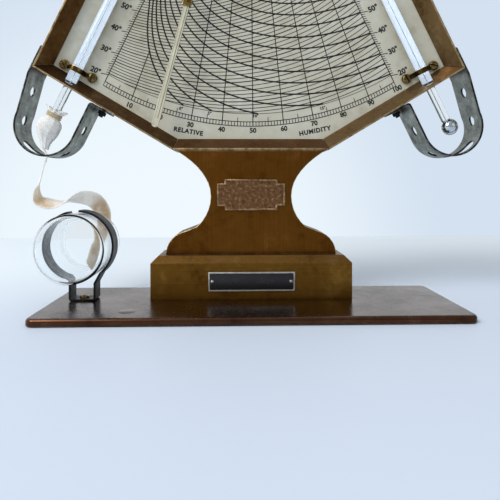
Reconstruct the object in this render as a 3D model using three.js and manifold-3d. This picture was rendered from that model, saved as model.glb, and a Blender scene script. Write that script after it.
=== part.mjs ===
// A wet and dry bulb hygrometer: a fan-shaped case on a waisted neck, plinth and base plate.
// Two thermometers lie beside a chart that an index arm sweeps, and a wick feeds the left bulb.
// Millimetres, +Z up, the viewer on the -Y side, origin under the middle of the base plate.

import * as THREE from "three";
import { mergeVertices } from "three/addons/utils/BufferGeometryUtils.js";
import Module from "manifold-3d";

const wasm = await Module();
wasm.setup();

// General clearances and counts
const gap = 0.3; // between pieces that meet in a turned frame or at a cut edge
const fit = 0.3; // round a shank or a tube in its hole
const overrun = 2; // how far a cutter runs past the face it cuts
const roundSides = 12;
const tubeSides = 16;
const bottleSides = 32;
const hexSides = 6;
const arcStep = THREE.MathUtils.degToRad(10);
const holeStep = THREE.MathUtils.degToRad(24);
const mergeDistance = 1e-4;

// Base plate
const baseWidth = 230.5;
const baseDepth = 78;
const baseThickness = 4.2;
const baseCornerRadius = 5;
const baseEdge = 2; // radius of the rounded upper edge
const baseEdgeSteps = 4;
const baseFootEdge = 0.6; // the lower edge is broken by this much

// Plinth
const plinthWidth = 117.4;
const plinthDepth = 34.8;
const plinthHeight = 25;
const plinthChamfer = 4;
const plinthSetback = 40.1; // from the front edge of the base plate
const plinthWall = 2;
const plinthEndWall = 9;

// Neck
const neckSetback = 8.9; // from the front of the plinth to the front of neck and case
const neckFootHalfWidth = 51;
const neckFootRadius = 14;
const neckFootArc = THREE.MathUtils.degToRad(62); // how far the foot's round runs
const neckWaistHalfWidth = 24.2;
const neckWaistRise = 34.8; // waist height above the plinth
const neckWaistRadius = 24;
const neckWaistArc = THREE.MathUtils.degToRad(50); // below the waist
const neckHeadInset = 2; // the neck's head is narrower than the bottom of the case
const neckSheet = 1.6;
const coreClearance = 0.4;
const neckUpperPullShare = 0.46;
const neckHeadPullShare = 0.38;
const neckHeadSteps = 9;

// Case
const caseDepth = 25.8;
const caseSheet = 1.2;
const caseRim = 1;
const caseSplay = 6.6; // how far the lip leans in between the rim and the chart
const recessDepth = 9;
const caseBottomHalfWidth = 47;
const caseBottomRise = 62.5; // above the plinth
const caseCornerOut = 8; // the wide corners, outward of the bulb centres
const caseCornerRise = 49.7; // above the bottom of the case
const caseSideRise = 193.6; // from the wide corners to the top
const sideAngle = THREE.MathUtils.degToRad(26);
const backSheet = 1.2;
const backRecess = 0.8;

// Chart and its board
const chartThickness = 0.6;
const boardThickness = 3;
const chartInset = 5; // from the outside of the case
const boardInset = 1.6;
const backInset = 1.6;
const postRadius = 3.5;
const postDrop = 40; // upper post, below the top of the case
const postRise = 30; // lower post, above the bottom of the case
const postSpigotRadius = 2;

// Index arm, its stud and the slider
const pivotDrop = 16; // below the top of the case
const studTailRadius = 1.8;
const studTail = 5;
const studFlangeRadius = 5;
const studFlange = 1.5;
const studShoulderRadius = 3;
const studAxleRadius = 1.6;
const armStandOff = 1.6; // between the rim plane and the back of the arm
const armThickness = 1.8;
const armWidth = 3.1;
const armTipWidth = 4.1;
const armLength = 221.5;
const armTipLength = 22;
const armHubRadius = 5;
const armHubThickness = 2.2;
const armRestAngle = THREE.MathUtils.degToRad(15);
const thumbNutRadius = 4.2;
const thumbNutHeight = 3;
const thumbNutKnurls = 18;
const thumbNutKnurlDepth = 0.3;
const sliderDistance = 142.8; // from the pivot, at rest
const sliderLength = 9;
const sliderWall = 0.6;
const sliderClearance = 0.25;
const pointerLength = 3.4;
const pointerThickness = 0.9;
const pointerTip = 0.6;
const pointerChartGap = 1.5;
const sliderKnobRadius = 1.9;
const sliderKnobHeight = 1.4;

// Thermometers
const bulbX = 122;
const bulbRise = 101.9; // bulb centre above the base plate
const bulbRadius = 5.3;
const bulbWall = 0.7;
const bulbSteps = 9; // points along half of the bulb's outline
const stemRadius = 2.7;
const tubeRadius = 3.4;
const tubeChartGap = 0.6;
const stemLength = 28.7; // bulb centre to the start of the wide tube
const tubeEnd = 205; // bulb centre to the upper end
const tubeShoulder = 1.4;
const boreRadius = 0.7;
const threadRadius = 0.45;
const bulbMercuryGap = 0.15;
const dryThreadLength = 128;
const wetThreadLength = 112;

// Saddles and staples that hold the tubes
const saddleLipGap = 0.3; // between a saddle's ear and the lip of the lower wall
const saddleSheet = 0.8;
const saddleWidth = 3.2;
const saddleEar = 13;
const saddleEarRadius = 3.1;
const saddleScrewOffset = 9.4;
const stapleDrop = 15; // below the upper end of the tube
const stapleWire = 1.3;
const stapleClinch = 1.5;

// Screws with a slotted round head
const screwShankRadius = 1.25;
const screwHeadRadius = 2.7;
const screwHeadHeight = 1.5;
const screwSlotWidth = 0.7;
const screwSlotDepth = 0.7;
const screwSlotLeanShare = 0.6; // rise of the slot for each unit across
const screwDomeSteps = 3;
const screwTail = 1;

// Bulb guards
const guardSheet = 1.2;
const guardFrontInset = 0.9;
const guardWidth = 24.2;
const guardRadius = 18.1; // centre line of the bend
const guardCentreOut = 1; // bend centre, outward of the bulb
const guardOuterTop = 42; // along the tube from the bulb centre
const guardOuterBend = 24;
const guardFlange = 10;
const guardHoleRadius = 3;
const guardHoleAlong = 15;
const guardInnerHoleAlong = 6.5;
const guardLowHoleAngle = THREE.MathUtils.degToRad(-142);
const guardOuterHoleAngle = THREE.MathUtils.degToRad(-12);
const guardSlotAngle = THREE.MathUtils.degToRad(-90);
const guardSlotLength = 22;
const guardSlotWidth = 10;
const guardSlotFromFront = 8.6;
const guardBoltOffset = 4.4; // from the inner arm along the flange
const guardBoltRadius = 1.5;
const guardBoltHeadRadius = 3;
const guardBoltHeadHeight = 1.8;
const guardNutRadius = 2.7;
const guardNutHeight = 2.4;
const guardSideScrewAlong = 36;
const guardFastenerFromBack = 7.8;

// Bottle clip
const clipX = -100.1;
const clipRise = 31.4; // ring centre above the base plate
const clipSheet = 1.2;
const clipWidth = 10.5;
const clipSetback = 38; // from the front edge of the base plate
const clipLegLeft = 4.3; // left of the ring centre
const clipLegRight = 9.8; // right of the ring centre
const clipLegTop = 10;
const clipGapFrom = THREE.MathUtils.degToRad(88.3);
const clipGapTo = THREE.MathUtils.degToRad(107);
const clipRightBend = THREE.MathUtils.degToRad(-50);
const clipLeftBend = THREE.MathUtils.degToRad(-108);

// Water bottle
const bottleRadius = 19.3;
const bottleClearance = 0.35;
const bottleWall = 1.5;
const bottleFrontReach = 18; // in front of the clip
const bottleBody = 36;
const bottleShoulder = 4;
const bottleNeck = 5;
const bottleBoreRadius = 15.6;
const bottleLip = 1.2;
const bottleLipHeight = 2;
const bottleEdge = 2.4;

// Wick
const wickClearance = 0.4;
const wickThickness = 1.5;
const wickTop = 11.2; // top of the ruffle, from the bulb centre
const wickRuffleRadius = 6.4;
const wickBindingAlong = 5.6;
const wickSleeveWall = 1.2;
const wickBottom = 9.5; // below the bulb centre
const wickBottomRadius = 2.6;
const bindingThread = 0.4;
const bindingTurns = 3;
const bindingPitch = 0.95;
const bindingSteps = 16; // sections of thread in a turn
const tapeWidth = 10;
const tapeSlotAngle = THREE.MathUtils.degToRad(-110); // where the tape passes the guard
const tapeSlotForward = 0.9; // from the middle of the guard's slot
const tapeSteps = 3; // sections between two stations

// Nameplate and plaque
const nameplateWidth = 50.6;
const nameplateHeight = 11.4;
const nameplateThickness = 0.8;
const nameplateRise = 10.4; // its centre above the base plate
const nameplatePinOffset = 22.9;
const pinRadius = 0.6;
const pinHeadRadius = 1;
const pinHeadHeight = 0.5;
const pinLength = 1.4;
const plaqueHalfWidth = 15.8;
const plaqueWingHalfWidth = 20.3;
const plaqueHalfHeight = 9.25;
const plaqueWingHalfHeight = 6.7;
const plaqueThickness = 0.8;
const plaqueBorder = 1;
const plaqueField = 0.4;
const plaqueRise = 0.8; // above the waist

// Hidden bolts and screws
const boltRadius = 2;
const boltHeadRadius = 3.6;
const boltHeadHeight = 2.4;
const boltReach = 14;
const boltOffset = 12;
const boltRoom = 1;
const baseScrewHeadRadius = 3.4;
const baseScrewHeadHeight = 1.8;
const baseScrewRecess = 0.4;
const baseScrewReach = 12;

// Places worked out from the sizes above
const baseTop = baseThickness;
const baseFront = -baseDepth / 2;
const plinthFront = baseFront + plinthSetback;
const plinthBack = plinthFront + plinthDepth;
const plinthTop = baseTop + plinthHeight;
const caseFront = plinthFront + neckSetback;
const caseBack = caseFront + caseDepth;
const caseBottom = plinthTop + caseBottomRise;
const caseCornerZ = caseBottom + caseCornerRise;
const caseTop = caseCornerZ + caseSideRise;
const caseCornerHalfWidth = bulbX + caseCornerOut;
const caseTopHalfWidth = caseCornerHalfWidth - caseSideRise * Math.tan(sideAngle);
const chartFront = caseFront + recessDepth;
const boardFront = chartFront + chartThickness;
const boardBack = boardFront + boardThickness;
const backPlateFront = caseBack - backRecess - backSheet;
const pivotZ = caseTop - pivotDrop;
const armBack = caseFront - armStandOff;
const tubeY = chartFront - tubeChartGap - tubeRadius;
const bulbZ = baseTop + bulbRise;
const stapleAlong = tubeEnd - stapleDrop;
const fastenerY = caseBack - guardFastenerFromBack;
const clipFront = baseFront + clipSetback;
const clipZ = baseTop + clipRise;
const clipRingRadius = bottleRadius + bottleClearance + clipSheet / 2;
const saddleAlong = saddlePlace();

// Geometry helpers

function toSolid(geometry) {
  const bare = geometry.clone();
  bare.deleteAttribute("normal");
  bare.deleteAttribute("uv");
  const merged = mergeVertices(bare, mergeDistance);
  const position = merged.attributes.position.array;
  const kept = [];
  for (let i = 0; i < merged.index.count; i += 3) {
    const [a, b, c] = [0, 1, 2].map((k) => merged.index.getX(i + k));
    if (a !== b && b !== c && a !== c) {
      kept.push(a, b, c);
    }
  }
  let volume = 0;
  const corner = (i) => new THREE.Vector3().fromArray(position, 3 * i);
  for (let i = 0; i < kept.length; i += 3) {
    volume += corner(kept[i]).dot(corner(kept[i + 1]).cross(corner(kept[i + 2])));
  }
  if (volume < 0) {
    for (let i = 0; i < kept.length; i += 3) {
      [kept[i], kept[i + 1]] = [kept[i + 1], kept[i]];
    }
  }
  return new wasm.Manifold(
    new wasm.Mesh({
      numProp: 3,
      vertProperties: Float32Array.from(position),
      triVerts: Uint32Array.from(kept),
    }),
  );
}

function toGeometry(solid) {
  const mesh = solid.getMesh();
  const geometry = new THREE.BufferGeometry();
  geometry.setAttribute("position", new THREE.BufferAttribute(Float32Array.from(mesh.vertProperties), 3));
  geometry.setIndex(new THREE.BufferAttribute(Uint32Array.from(mesh.triVerts), 1));
  geometry.computeVertexNormals();
  return geometry;
}

function shapeOf(points) {
  return new THREE.Shape(points.map(([x, y]) => new THREE.Vector2(x, y)));
}

function extruded(points, length, holes = []) {
  const shape = shapeOf(points);
  for (const hole of holes) {
    shape.holes.push(shapeOf(hole));
  }
  return new THREE.ExtrudeGeometry(shape, { depth: length, bevelEnabled: false, steps: 1 });
}

// An outline of x and z, from one y to another
function acrossDepth(points, yFrom, yTo) {
  const geometry = extruded(points, yTo - yFrom);
  geometry.rotateX(Math.PI / 2);
  geometry.translate(0, yTo, 0);
  return toSolid(geometry);
}

// Outlines of x and y with the same number of points, one above the other: [outline, z]
function stacked(levels) {
  const vertices = levels.flatMap(([points, z]) => points.flatMap(([x, y]) => [x, y, z]));
  const count = levels[0][0].length;
  const faces = [];
  for (let level = 0; level + 1 < levels.length; level += 1) {
    for (let i = 0; i < count; i += 1) {
      const a = level * count + i;
      const b = level * count + ((i + 1) % count);
      faces.push(a, b, b + count, a, b + count, a + count);
    }
  }
  const last = (levels.length - 1) * count;
  for (let i = 1; i + 1 < count; i += 1) {
    faces.push(0, i + 1, i, last, last + i, last + i + 1);
  }
  const geometry = new THREE.BufferGeometry();
  geometry.setAttribute("position", new THREE.BufferAttribute(Float32Array.from(vertices), 3));
  geometry.setIndex(faces);
  return toSolid(geometry);
}

function block(xFrom, xTo, yFrom, yTo, zFrom, zTo) {
  const geometry = new THREE.BoxGeometry(xTo - xFrom, yTo - yFrom, zTo - zFrom);
  geometry.translate((xFrom + xTo) / 2, (yFrom + yTo) / 2, (zFrom + zTo) / 2);
  return toSolid(geometry);
}

// A turned solid: profile points are [radius, distance along the axis]
function turned(profile, start, direction, sides = roundSides) {
  const points = profile.map(([r, h]) => new THREE.Vector2(r, h));
  const geometry = new THREE.LatheGeometry(points, sides);
  const turn = new THREE.Quaternion().setFromUnitVectors(new THREE.Vector3(0, 1, 0), direction);
  geometry.applyQuaternion(turn);
  geometry.translate(start.x, start.y, start.z);
  return toSolid(geometry);
}

function rod(radius, from, to, sides = roundSides) {
  const axis = to.clone().sub(from);
  const profile = [
    [0, 0],
    [radius, 0],
    [radius, axis.length()],
    [0, axis.length()],
  ];
  return turned(profile, from, axis.normalize(), sides);
}

function arc(cx, cy, radius, from, to, step = arcStep) {
  const steps = Math.max(2, Math.ceil(Math.abs(to - from) / step));
  return Array.from({ length: steps + 1 }, (_, i) => {
    const angle = from + ((to - from) * i) / steps;
    return [cx + radius * Math.cos(angle), cy + radius * Math.sin(angle)];
  });
}

// A strip of even thickness along a route in a plane, as a closed outline
function stripOutline(route, thickness) {
  const left = [];
  const right = [];
  route.forEach(([x, y], i) => {
    const [ax, ay] = route[Math.max(0, i - 1)];
    const [bx, by] = route[Math.min(route.length - 1, i + 1)];
    const before = new THREE.Vector2(x - ax, y - ay).normalize();
    const after = new THREE.Vector2(bx - x, by - y).normalize();
    const mean = before.clone().add(after).normalize();
    const atEnd = i === 0 || i === route.length - 1;
    const turn = atEnd ? 1 : mean.dot(after);
    const stretch = thickness / 2 / Math.max(turn, Math.SQRT1_2);
    left.push([x - mean.y * stretch, y + mean.x * stretch]);
    right.unshift([x + mean.y * stretch, y - mean.x * stretch]);
  });
  return [...left, ...right];
}

const along = {
  y: new THREE.Vector3(0, 1, 0),
  front: new THREE.Vector3(0, -1, 0),
  up: new THREE.Vector3(0, 0, 1),
  down: new THREE.Vector3(0, 0, -1),
};

function at(x, y, z) {
  return new THREE.Vector3(x, y, z);
}

// The model

const hygrometer = new THREE.Group();
hygrometer.name = "hygrometer";

const finish = {
  bronze: { color: 0x6b4a20, roughness: 0.45, metalness: 0.8 },
  plinthBronze: { color: 0x6a4c22, roughness: 0.45, metalness: 0.8 },
  baseBronze: { color: 0x5a4638, roughness: 0.4, metalness: 0.7 },
  brass: { color: 0xb08a3e, roughness: 0.35, metalness: 0.9 },
  copper: { color: 0x9a6248, roughness: 0.6, metalness: 0.7 },
  steel: { color: 0x8a8c8c, roughness: 0.45, metalness: 0.8 },
  blackSteel: { color: 0x17171a, roughness: 0.4, metalness: 0.5 },
  card: { color: 0xbebaa8, roughness: 0.9, metalness: 0 },
  wood: { color: 0x6e4f30, roughness: 0.7, metalness: 0 },
  glass: { color: 0xdfeaf0, roughness: 0.05, metalness: 0 },
  mercury: { color: 0xb8bcc0, roughness: 0.1, metalness: 1 },
  cream: { color: 0xd8d2b4, roughness: 0.5, metalness: 0 },
  cotton: { color: 0xeeeae0, roughness: 0.95, metalness: 0 },
  thread: { color: 0xa88a58, roughness: 0.9, metalness: 0 },
  blackPlate: { color: 0x101012, roughness: 0.4, metalness: 0.2 },
};

function add(name, solid, look) {
  const mesh = new THREE.Mesh(toGeometry(solid), new THREE.MeshStandardMaterial(look));
  mesh.name = name;
  hygrometer.add(mesh);
  return mesh;
}

// The fan outline of the case, moved inward by an inset
const fanCorners = [
  [-caseBottomHalfWidth, caseBottom],
  [-caseCornerHalfWidth, caseCornerZ],
  [-caseTopHalfWidth, caseTop],
  [caseTopHalfWidth, caseTop],
  [caseCornerHalfWidth, caseCornerZ],
  [caseBottomHalfWidth, caseBottom],
];

function insetFan(inset) {
  return fanCorners.map((corner, i) => {
    const before = fanCorners[(i + fanCorners.length - 1) % fanCorners.length];
    const after = fanCorners[(i + 1) % fanCorners.length];
    const a = new THREE.Vector2(corner[0] - before[0], corner[1] - before[1]).normalize();
    const b = new THREE.Vector2(after[0] - corner[0], after[1] - corner[1]).normalize();
    const na = new THREE.Vector2(a.y, -a.x);
    const nb = new THREE.Vector2(b.y, -b.x);
    const move = na.clone().add(nb).multiplyScalar(inset / (1 + na.dot(nb)));
    return [corner[0] + move.x, corner[1] + move.y];
  });
}

// The frame that a thermometer lies in: "out" points away from the middle, "up" along the tube
function tubePlace(side, out, up, y = tubeY) {
  const x = bulbX + out * Math.cos(sideAngle) - up * Math.sin(sideAngle);
  const z = bulbZ + out * Math.sin(sideAngle) + up * Math.cos(sideAngle);
  return at(side * x, y, z);
}

function tubeAxis(side) {
  return at(-side * Math.sin(sideAngle), 0, Math.cos(sideAngle));
}

function tubeOut(side) {
  return at(side * Math.cos(sideAngle), 0, Math.sin(sideAngle));
}

// An outline of (out, y) in the tube's frame, from one distance along the tube to another
function acrossTube(side, points, upFromBulb, upTo) {
  const geometry = extruded(points, upTo - upFromBulb);
  const start = tubePlace(side, 0, upFromBulb, 0);
  const frame = new THREE.Matrix4().makeBasis(tubeOut(side), along.y, tubeAxis(side));
  geometry.applyMatrix4(frame);
  geometry.translate(start.x, start.y, start.z);
  return toSolid(geometry);
}

// An outline of (out, up) in the tube's frame, across the depth of the case
function guardPlate(side, points, yFrom, yTo) {
  const world = points.map(([out, up]) => {
    const place = tubePlace(side, out, up);
    return [place.x, place.z];
  });
  return acrossDepth(world, yFrom, yTo);
}

function slottedScrew(seat, direction, length, headRadius = screwHeadRadius) {
  const crown = Array.from({ length: screwDomeSteps }, (_, i) => {
    const angle = ((i + 1) / screwDomeSteps) * (Math.PI / 2);
    const flat = screwHeadHeight / 2;
    return [headRadius * Math.cos(angle), flat + (screwHeadHeight - flat) * Math.sin(angle)];
  });
  const profile = [
    [0, -length],
    [screwShankRadius, -length],
    [screwShankRadius, 0],
    [headRadius, 0],
    [headRadius, screwHeadHeight / 2],
    ...crown.slice(0, -1),
    [0, screwHeadHeight],
  ];
  const body = turned(profile, seat, direction);
  const across = at(1, 0, screwSlotLeanShare).cross(direction).normalize();
  const side = direction.clone().cross(across);
  const slot = new THREE.BoxGeometry(2 * headRadius + overrun, screwSlotWidth, 2 * screwSlotDepth);
  slot.applyMatrix4(new THREE.Matrix4().makeBasis(across, side, across.clone().cross(side)));
  const top = seat.clone().addScaledVector(direction, screwHeadHeight);
  slot.translate(top.x, top.y, top.z);
  return body.subtract(toSolid(slot));
}

function screwHole(seat, direction, depth, radius = screwShankRadius) {
  const from = seat.clone().addScaledVector(direction, overrun);
  const to = seat.clone().addScaledVector(direction, -depth);
  return rod(radius + fit, from, to);
}

function baseScrewPlaces() {
  const x = plinthWidth / 2 - plinthEndWall / 2;
  const y = (plinthFront + plinthBack) / 2;
  return [at(-x, y, 0), at(x, y, 0)];
}

function coreMiddleY() {
  return caseFront + caseDepth / 2;
}

function makeBase() {
  const halfW = baseWidth / 2 - baseCornerRadius;
  const halfD = baseDepth / 2 - baseCornerRadius;
  const quarter = Math.PI / 2;
  const outline = (inset) => [
    ...arc(halfW, halfD, baseCornerRadius - inset, 0, quarter),
    ...arc(-halfW, halfD, baseCornerRadius - inset, quarter, 2 * quarter),
    ...arc(-halfW, -halfD, baseCornerRadius - inset, 2 * quarter, 3 * quarter),
    ...arc(halfW, -halfD, baseCornerRadius - inset, 3 * quarter, 4 * quarter),
  ];
  const rounded = Array.from({ length: baseEdgeSteps + 1 }, (_, i) => {
    const angle = (i / baseEdgeSteps) * quarter;
    const height = baseThickness - baseEdge * (1 - Math.sin(angle));
    return [outline(baseEdge * (1 - Math.cos(angle))), height];
  });
  let plate = stacked([[outline(baseFootEdge), 0], [outline(0), baseFootEdge], ...rounded]);
  for (const place of baseScrewPlaces()) {
    const head = [
      [0, -overrun],
      [baseScrewHeadRadius + fit, -overrun],
      [baseScrewHeadRadius + fit, baseScrewRecess],
      [boltRadius + fit, baseScrewRecess + baseScrewHeadHeight + fit],
      [boltRadius + fit, baseThickness + overrun],
      [0, baseThickness + overrun],
    ];
    plate = plate.subtract(turned(head, place, along.up));
  }
  const screw = clipScrewSeat();
  plate = plate.subtract(screwHole(screw, along.up, clipSheet + baseThickness + overrun));
  add("base_plate", plate, finish.baseBronze);

  baseScrewPlaces().forEach((place, i) => {
    const profile = [
      [0, baseScrewRecess],
      [baseScrewHeadRadius, baseScrewRecess],
      [boltRadius, baseScrewRecess + baseScrewHeadHeight],
      [boltRadius, baseThickness + baseScrewReach],
      [0, baseThickness + baseScrewReach],
    ];
    add(i ? "base_screw_right" : "base_screw_left", turned(profile, place, along.up), finish.brass);
  });
}

function neckBoltPlaces() {
  return [-1, 1].map((side) => at(side * boltOffset, coreMiddleY(), plinthTop));
}

function pinPlaces() {
  return [-1, 1].map((side) => at(side * nameplatePinOffset, plinthFront, baseTop + nameplateRise));
}

function makePlinth() {
  const half = plinthWidth / 2;
  const shoulder = plinthTop - plinthChamfer;
  const front = [
    [-half, baseTop],
    [half, baseTop],
    [half, shoulder],
    [half - plinthChamfer, plinthTop],
    [-half + plinthChamfer, plinthTop],
    [-half, shoulder],
  ];
  const side = [
    [plinthFront, baseTop],
    [plinthBack, baseTop],
    [plinthBack, shoulder],
    [plinthBack - plinthChamfer, plinthTop],
    [plinthFront + plinthChamfer, plinthTop],
    [plinthFront, shoulder],
  ];
  const sideways = extruded(side, plinthWidth);
  // The outline's x is the depth and its y the height, drawn out along x
  sideways.applyMatrix4(new THREE.Matrix4().makeBasis(at(0, 1, 0), at(0, 0, 1), at(1, 0, 0)));
  sideways.translate(-half, 0, 0);
  let plinth = acrossDepth(front, plinthFront, plinthBack).intersect(toSolid(sideways));
  const hollow = [
    plinthFront + plinthChamfer + plinthWall,
    plinthBack - plinthChamfer - plinthWall,
  ];
  const cavity = block(
    -half + plinthEndWall,
    half - plinthEndWall,
    ...hollow,
    baseTop - overrun,
    plinthTop - plinthWall,
  );
  plinth = plinth.subtract(cavity);
  for (const place of neckBoltPlaces()) {
    plinth = plinth.subtract(screwHole(place, along.up, plinthWall + overrun, boltRadius));
  }
  for (const place of baseScrewPlaces()) {
    const from = at(place.x, place.y, baseTop - overrun);
    const to = at(place.x, place.y, baseTop + baseScrewReach + boltRoom);
    plinth = plinth.subtract(rod(boltRadius + fit, from, to));
  }
  for (const place of pinPlaces()) {
    plinth = plinth.subtract(screwHole(place, along.front, pinLength + fit, pinRadius));
  }
  add("plinth", plinth, finish.plinthBronze);
}

function makeNameplate() {
  const z = baseTop + nameplateRise;
  const front = plinthFront - nameplateThickness;
  const half = nameplateWidth / 2;
  let plate = block(-half, half, front, plinthFront, z - nameplateHeight / 2, z + nameplateHeight / 2);
  pinPlaces().forEach((place, i) => {
    const seat = at(place.x, front, place.z);
    plate = plate.subtract(screwHole(seat, along.front, nameplateThickness + overrun, pinRadius));
    const profile = [
      [0, -nameplateThickness - pinLength],
      [pinRadius, -nameplateThickness - pinLength],
      [pinRadius, 0],
      [pinHeadRadius, 0],
      [pinHeadRadius, pinHeadHeight / 2],
      [pinHeadRadius / 2, pinHeadHeight],
      [0, pinHeadHeight],
    ];
    const name = i ? "nameplate_pin_right" : "nameplate_pin_left";
    add(name, turned(profile, seat, along.front), finish.brass);
  });
  add("nameplate", plate, finish.blackPlate);
}

// Half of the neck's outline, from its foot to its head, as [half width, z]
function neckHalf() {
  const foot = arc(neckFootHalfWidth - neckFootRadius, plinthTop, neckFootRadius, 0, neckFootArc);
  const waistZ = plinthTop + neckWaistRise;
  const waistCentre = neckWaistHalfWidth + neckWaistRadius;
  const lower = arc(waistCentre, waistZ, neckWaistRadius, Math.PI + neckWaistArc, Math.PI);
  const headHalf = caseBottomHalfWidth - neckHeadInset;
  const headZ = caseBottom - gap;
  const rise = headZ - waistZ;
  const wallLength = Math.hypot(caseCornerHalfWidth - caseBottomHalfWidth, caseCornerRise);
  const pull = (rise * neckHeadPullShare) / wallLength;
  const upper = new THREE.CubicBezierCurve(
    new THREE.Vector2(neckWaistHalfWidth, waistZ),
    new THREE.Vector2(neckWaistHalfWidth, waistZ + rise * neckUpperPullShare),
    new THREE.Vector2(
      headHalf - pull * (caseCornerHalfWidth - caseBottomHalfWidth),
      headZ - pull * caseCornerRise,
    ),
    new THREE.Vector2(headHalf, headZ),
  );
  const upperPoints = upper.getPoints(neckHeadSteps).slice(1).map((p) => [p.x, p.y]);
  return [...foot, ...lower, ...upperPoints];
}

function makeNeck() {
  const half = neckHalf();
  const outline = [...half, ...half.map(([x, z]) => [-x, z]).reverse()];
  const frontBack = caseFront + neckSheet;
  const backFront = caseBack - neckSheet;
  add("neck_front", acrossDepth(outline, caseFront, frontBack), finish.bronze);
  add("neck_back", acrossDepth(outline, backFront, caseBack), finish.bronze);
  const inner = half.map(([x, z], i) => {
    const [ax, az] = half[Math.max(0, i - 1)];
    const [bx, bz] = half[Math.min(half.length - 1, i + 1)];
    const run = new THREE.Vector2(bx - ax, bz - az).normalize();
    if (i === 0) {
      return [x - neckSheet, z];
    }
    if (i === half.length - 1) {
      return [x - neckSheet / run.y, z];
    }
    return [x - run.y * neckSheet, z + run.x * neckSheet];
  });
  const strip = [...half, ...inner.reverse()];
  for (const side of [-1, 1]) {
    const points = strip.map(([x, z]) => [side * x, z]);
    const name = side < 0 ? "neck_side_left" : "neck_side_right";
    add(name, acrossDepth(points, frontBack, backFront), finish.bronze);
  }

  const coreHalf = neckWaistHalfWidth - neckSheet - coreClearance;
  let core = block(-coreHalf, coreHalf, frontBack, backFront, plinthTop, caseBottom - gap);
  const drill = boltReach + boltRoom;
  neckBoltPlaces().forEach((place, i) => {
    const from = at(place.x, place.y, place.z - overrun);
    const to = at(place.x, place.y, place.z + drill);
    core = core.subtract(rod(boltRadius + fit, from, to));
    const seat = at(place.x, place.y, place.z - plinthWall);
    const name = i ? "neck_bolt_right" : "neck_bolt_left";
    add(name, hexBolt(seat, along.down, plinthWall + boltReach), finish.steel);
  });
  for (const side of [-1, 1]) {
    const x = side * boltOffset;
    const from = at(x, fastenerY, caseBottom + overrun);
    const to = at(x, fastenerY, caseBottom - drill);
    core = core.subtract(rod(boltRadius + fit, from, to));
    const seat = at(x, fastenerY, caseBottom + caseSheet + gap);
    const name = side < 0 ? "case_bolt_left" : "case_bolt_right";
    add(name, hexBolt(seat, along.up, caseSheet + gap + boltReach), finish.steel);
  }
  add("neck_core", core, finish.wood);
}

function hexBolt(seat, direction, length) {
  const top = seat.clone().addScaledVector(direction, boltHeadHeight);
  const middle = seat.clone().addScaledVector(direction, boltHeadHeight / 2);
  const end = seat.clone().addScaledVector(direction, -length);
  return rod(boltHeadRadius, seat, top, hexSides).add(rod(boltRadius, middle, end));
}

function makePlaque() {
  const z = plinthTop + neckWaistRise + plaqueRise;
  const outline = (shrink) => {
    const w = plaqueHalfWidth - shrink;
    const ww = plaqueWingHalfWidth - shrink;
    const h = plaqueHalfHeight - shrink;
    const wh = plaqueWingHalfHeight - shrink;
    return [
      [-ww, z - wh],
      [-w, z - wh],
      [-w, z - h],
      [w, z - h],
      [w, z - wh],
      [ww, z - wh],
      [ww, z + wh],
      [w, z + wh],
      [w, z + h],
      [-w, z + h],
      [-w, z + wh],
      [-ww, z + wh],
    ];
  };
  const front = caseFront - plaqueThickness;
  const field = acrossDepth(outline(plaqueBorder), front - overrun, front + plaqueField);
  const plaque = acrossDepth(outline(0), front, caseFront).subtract(field);
  add("neck_plaque", plaque, finish.copper);
}

// One wall of the case: an outer sheet folded at the rim into a lip that leans in to the chart
function wallSection() {
  const lipEnd = chartFront - gap;
  const slope = recessDepth / caseSplay;
  const lean = Math.hypot(recessDepth, caseSplay);
  const across = (caseSheet * lean) / recessDepth;
  const inset = (y) => caseRim + (y - caseFront) / slope;
  const inside = caseFront + (caseSheet + across - caseRim) * slope;
  return [
    [0, caseFront],
    [caseRim, caseFront],
    [inset(lipEnd), lipEnd],
    [inset(lipEnd) - across, lipEnd],
    [caseSheet, inside],
    [caseSheet, caseBack],
    [0, caseBack],
  ];
}

function wallSolid(index) {
  const next = (index + 1) % fanCorners.length;
  const geometry = extruded(wallSection(), 1);
  const position = geometry.attributes.position;
  const [ax, az] = fanCorners[index];
  const [bx, bz] = fanCorners[next];
  const run = new THREE.Vector2(bx - ax, bz - az).normalize();
  for (let i = 0; i < position.count; i += 1) {
    const inset = position.getX(i);
    const y = position.getY(i);
    const far = position.getZ(i) > 0;
    const corner = insetFan(inset)[far ? next : index];
    const shift = far ? -gap / 2 : gap / 2;
    position.setXYZ(i, corner[0] + run.x * shift, y, corner[1] + run.y * shift);
  }
  return toSolid(geometry);
}

// A cutter on the middle line, through the chart and its board
function throughBoard(radius, z) {
  return rod(radius, at(0, chartFront - overrun, z), at(0, boardBack + overrun, z));
}

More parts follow.
